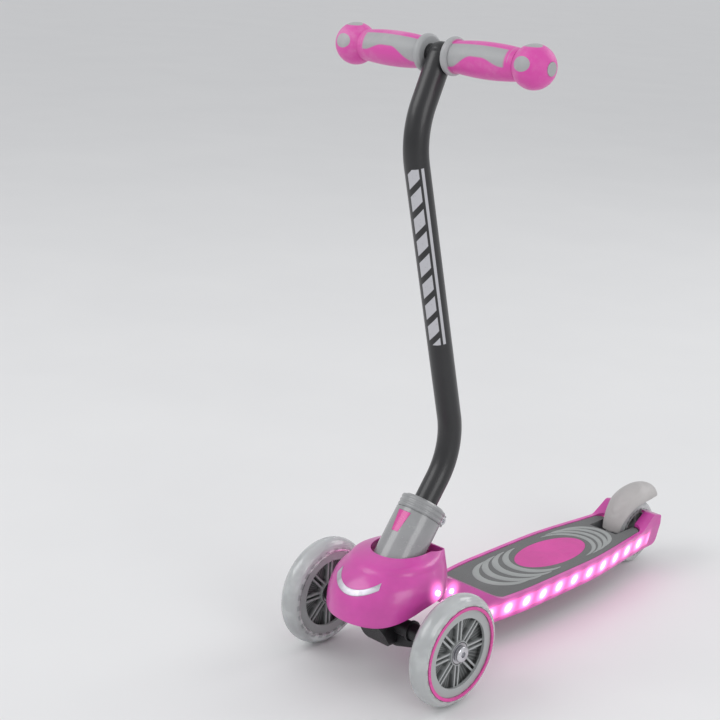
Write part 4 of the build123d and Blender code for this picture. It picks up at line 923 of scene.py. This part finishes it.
def lamp_finish():
    """Clear lamp, white-hot with a cloudy centre."""
    g = Graph("lit lamp")
    cloud = g.noise(700.0, 2.0)
    colour = g.blend(cloud, (1.0, 0.72, 0.9), (1.0, 0.95, 0.98))
    return g.surface(Base_Color=(0.9, 0.7, 0.8, 1), Roughness=0.1 + 0.1 * cloud,
                     Emission_Color=colour, Emission_Strength=8.0)


strip_pink = strip_finish()
lamp_white = lamp_finish()
print("lights ready")

# %% [markdown]
# ## Every other part
# The other parts keep their mesh. Each gets the finish of its slot in the record, put into the
# mesh's own material list.

# %% Finishes by slot
badge_pink = moulded("printed pink oval", (0.66, 0.05, 0.34), 0.4, 0.1, 0.2)
finishes = {
    "clear_tyre": tyre_clear, "wheel_grey": hub_grey, "trim_pink": trim_pink,
    "bearing_steel": bearing_steel, "bolt_steel": bolt_steel, "truck_black": truck_black,
    "spring_rubber": spring_rubber, "sleeve_grey": sleeve_grey, "stem_black": coat_black,
    "grip_grey": grip_grey, "grip_pink": grip_pink, "body_pink": deck_pink,
    "clear_pink": strip_pink, "board_white": board_white, "lamp": lamp_white,
    "mat_dark": mat_dark, "mat_light": mat_light, "badge_pink": badge_pink,
    "badge_silver": badge_silver, "brake_grey": brake_grey, "core_grey": core_grey,
    "bush_white": bush_white, "cell": cell_metal, "button_black": button_black,
}
slot_of = {part["node"]: part["material_slot"] for part in frame["record"]["subparts"]}
for name, part in nodes.items():
    finish = rear_hub_grey if name == "rear_hub" else finishes[slot_of[name]]
    part.data.materials.clear()
    part.data.materials.append(finish)
print("finished", len(nodes), "parts in", len(set(slot_of.values())), "finishes")

# %% [markdown]
# ## Studio
# The floor is one pale sheet, so large that its edge is far off. Light comes from a big soft
# panel on the left, weaker ones on the right and behind, and a pale sky all round.

# %% Pale floor
def floor_finish():
    """Pale matte floor, faintly mottled like paper."""
    g = Graph("pale studio floor")
    cloud = g.noise(3.0, 3.0)
    base = g.blend(cloud, (0.74, 0.74, 0.745), (0.80, 0.80, 0.80))
    return g.surface(Base_Color=base, Roughness=0.45 + 0.1 * cloud,
                     Normal=g.bump(g.noise(60.0, 2.0), 0.02, 0.0004))


floor_reach, floor_lines, floor_height = 80, 31, -0.0002
floor_run = np.linspace(-1, 1, floor_lines) ** 3 * floor_reach
floor_x, floor_y = np.meshgrid(floor_run, floor_run)
floor_points = np.stack([floor_x, floor_y, np.full_like(floor_x, floor_height)], axis=-1)
floor = skin("studio_floor", floor_points, ring=False, material=floor_finish())

# %% Lights and camera
def panel(name, place, size, power):
    """Square light panel that faces the scooter."""
    light = bpy.data.lights.new(name, "AREA")
    light.energy, light.size = power, size
    lamp = bpy.data.objects.new(name, light)
    lamp.location = place
    aim = Vector((0, 0, 0.25)) - Vector(place)
    lamp.rotation_euler = aim.to_track_quat("-Z", "Y").to_euler()
    bpy.context.scene.collection.objects.link(lamp)


panel("key panel", (-1.3, -2.0, 2.2), 1.8, 26)
panel("side panel", (2.4, -0.6, 1.3), 1.4, 15)
panel("back strip", (0.6, 2.4, 2.0), 1.4, 16)
world = bpy.data.worlds.new("studio")
world.use_nodes = True
world.node_tree.nodes["Background"].inputs["Color"].default_value = (0.92, 0.93, 0.95, 1)
world.node_tree.nodes["Background"].inputs["Strength"].default_value = 0.75
bpy.context.scene.world = world
bpy.context.scene.view_settings.view_transform = "Standard"

camera = bpy.data.objects.new("camera", bpy.data.cameras.new("camera"))
camera.data.lens, camera.data.sensor_width = 75.745, 36.0
turned_by, raised_by, roll = radians(43.29), radians(16.56), radians(2.97)
right = Vector((cos(turned_by), sin(turned_by), 0))
back = Vector((sin(turned_by) * cos(raised_by), -cos(turned_by) * cos(raised_by), sin(raised_by)))
up = back.cross(right)
tilted_right = cos(roll) * right + sin(roll) * up
tilted_up = cos(roll) * up - sin(roll) * right
turned = Matrix((tilted_right, tilted_up, back)).transposed().to_4x4()
camera.matrix_world = Matrix.Translation(Vector(at(962.4, -1081.9, 771.6))) @ turned
bpy.context.scene.collection.objects.link(camera)
bpy.context.scene.camera = camera
print("camera at", [round(value, 3) for value in camera.matrix_world.translation])
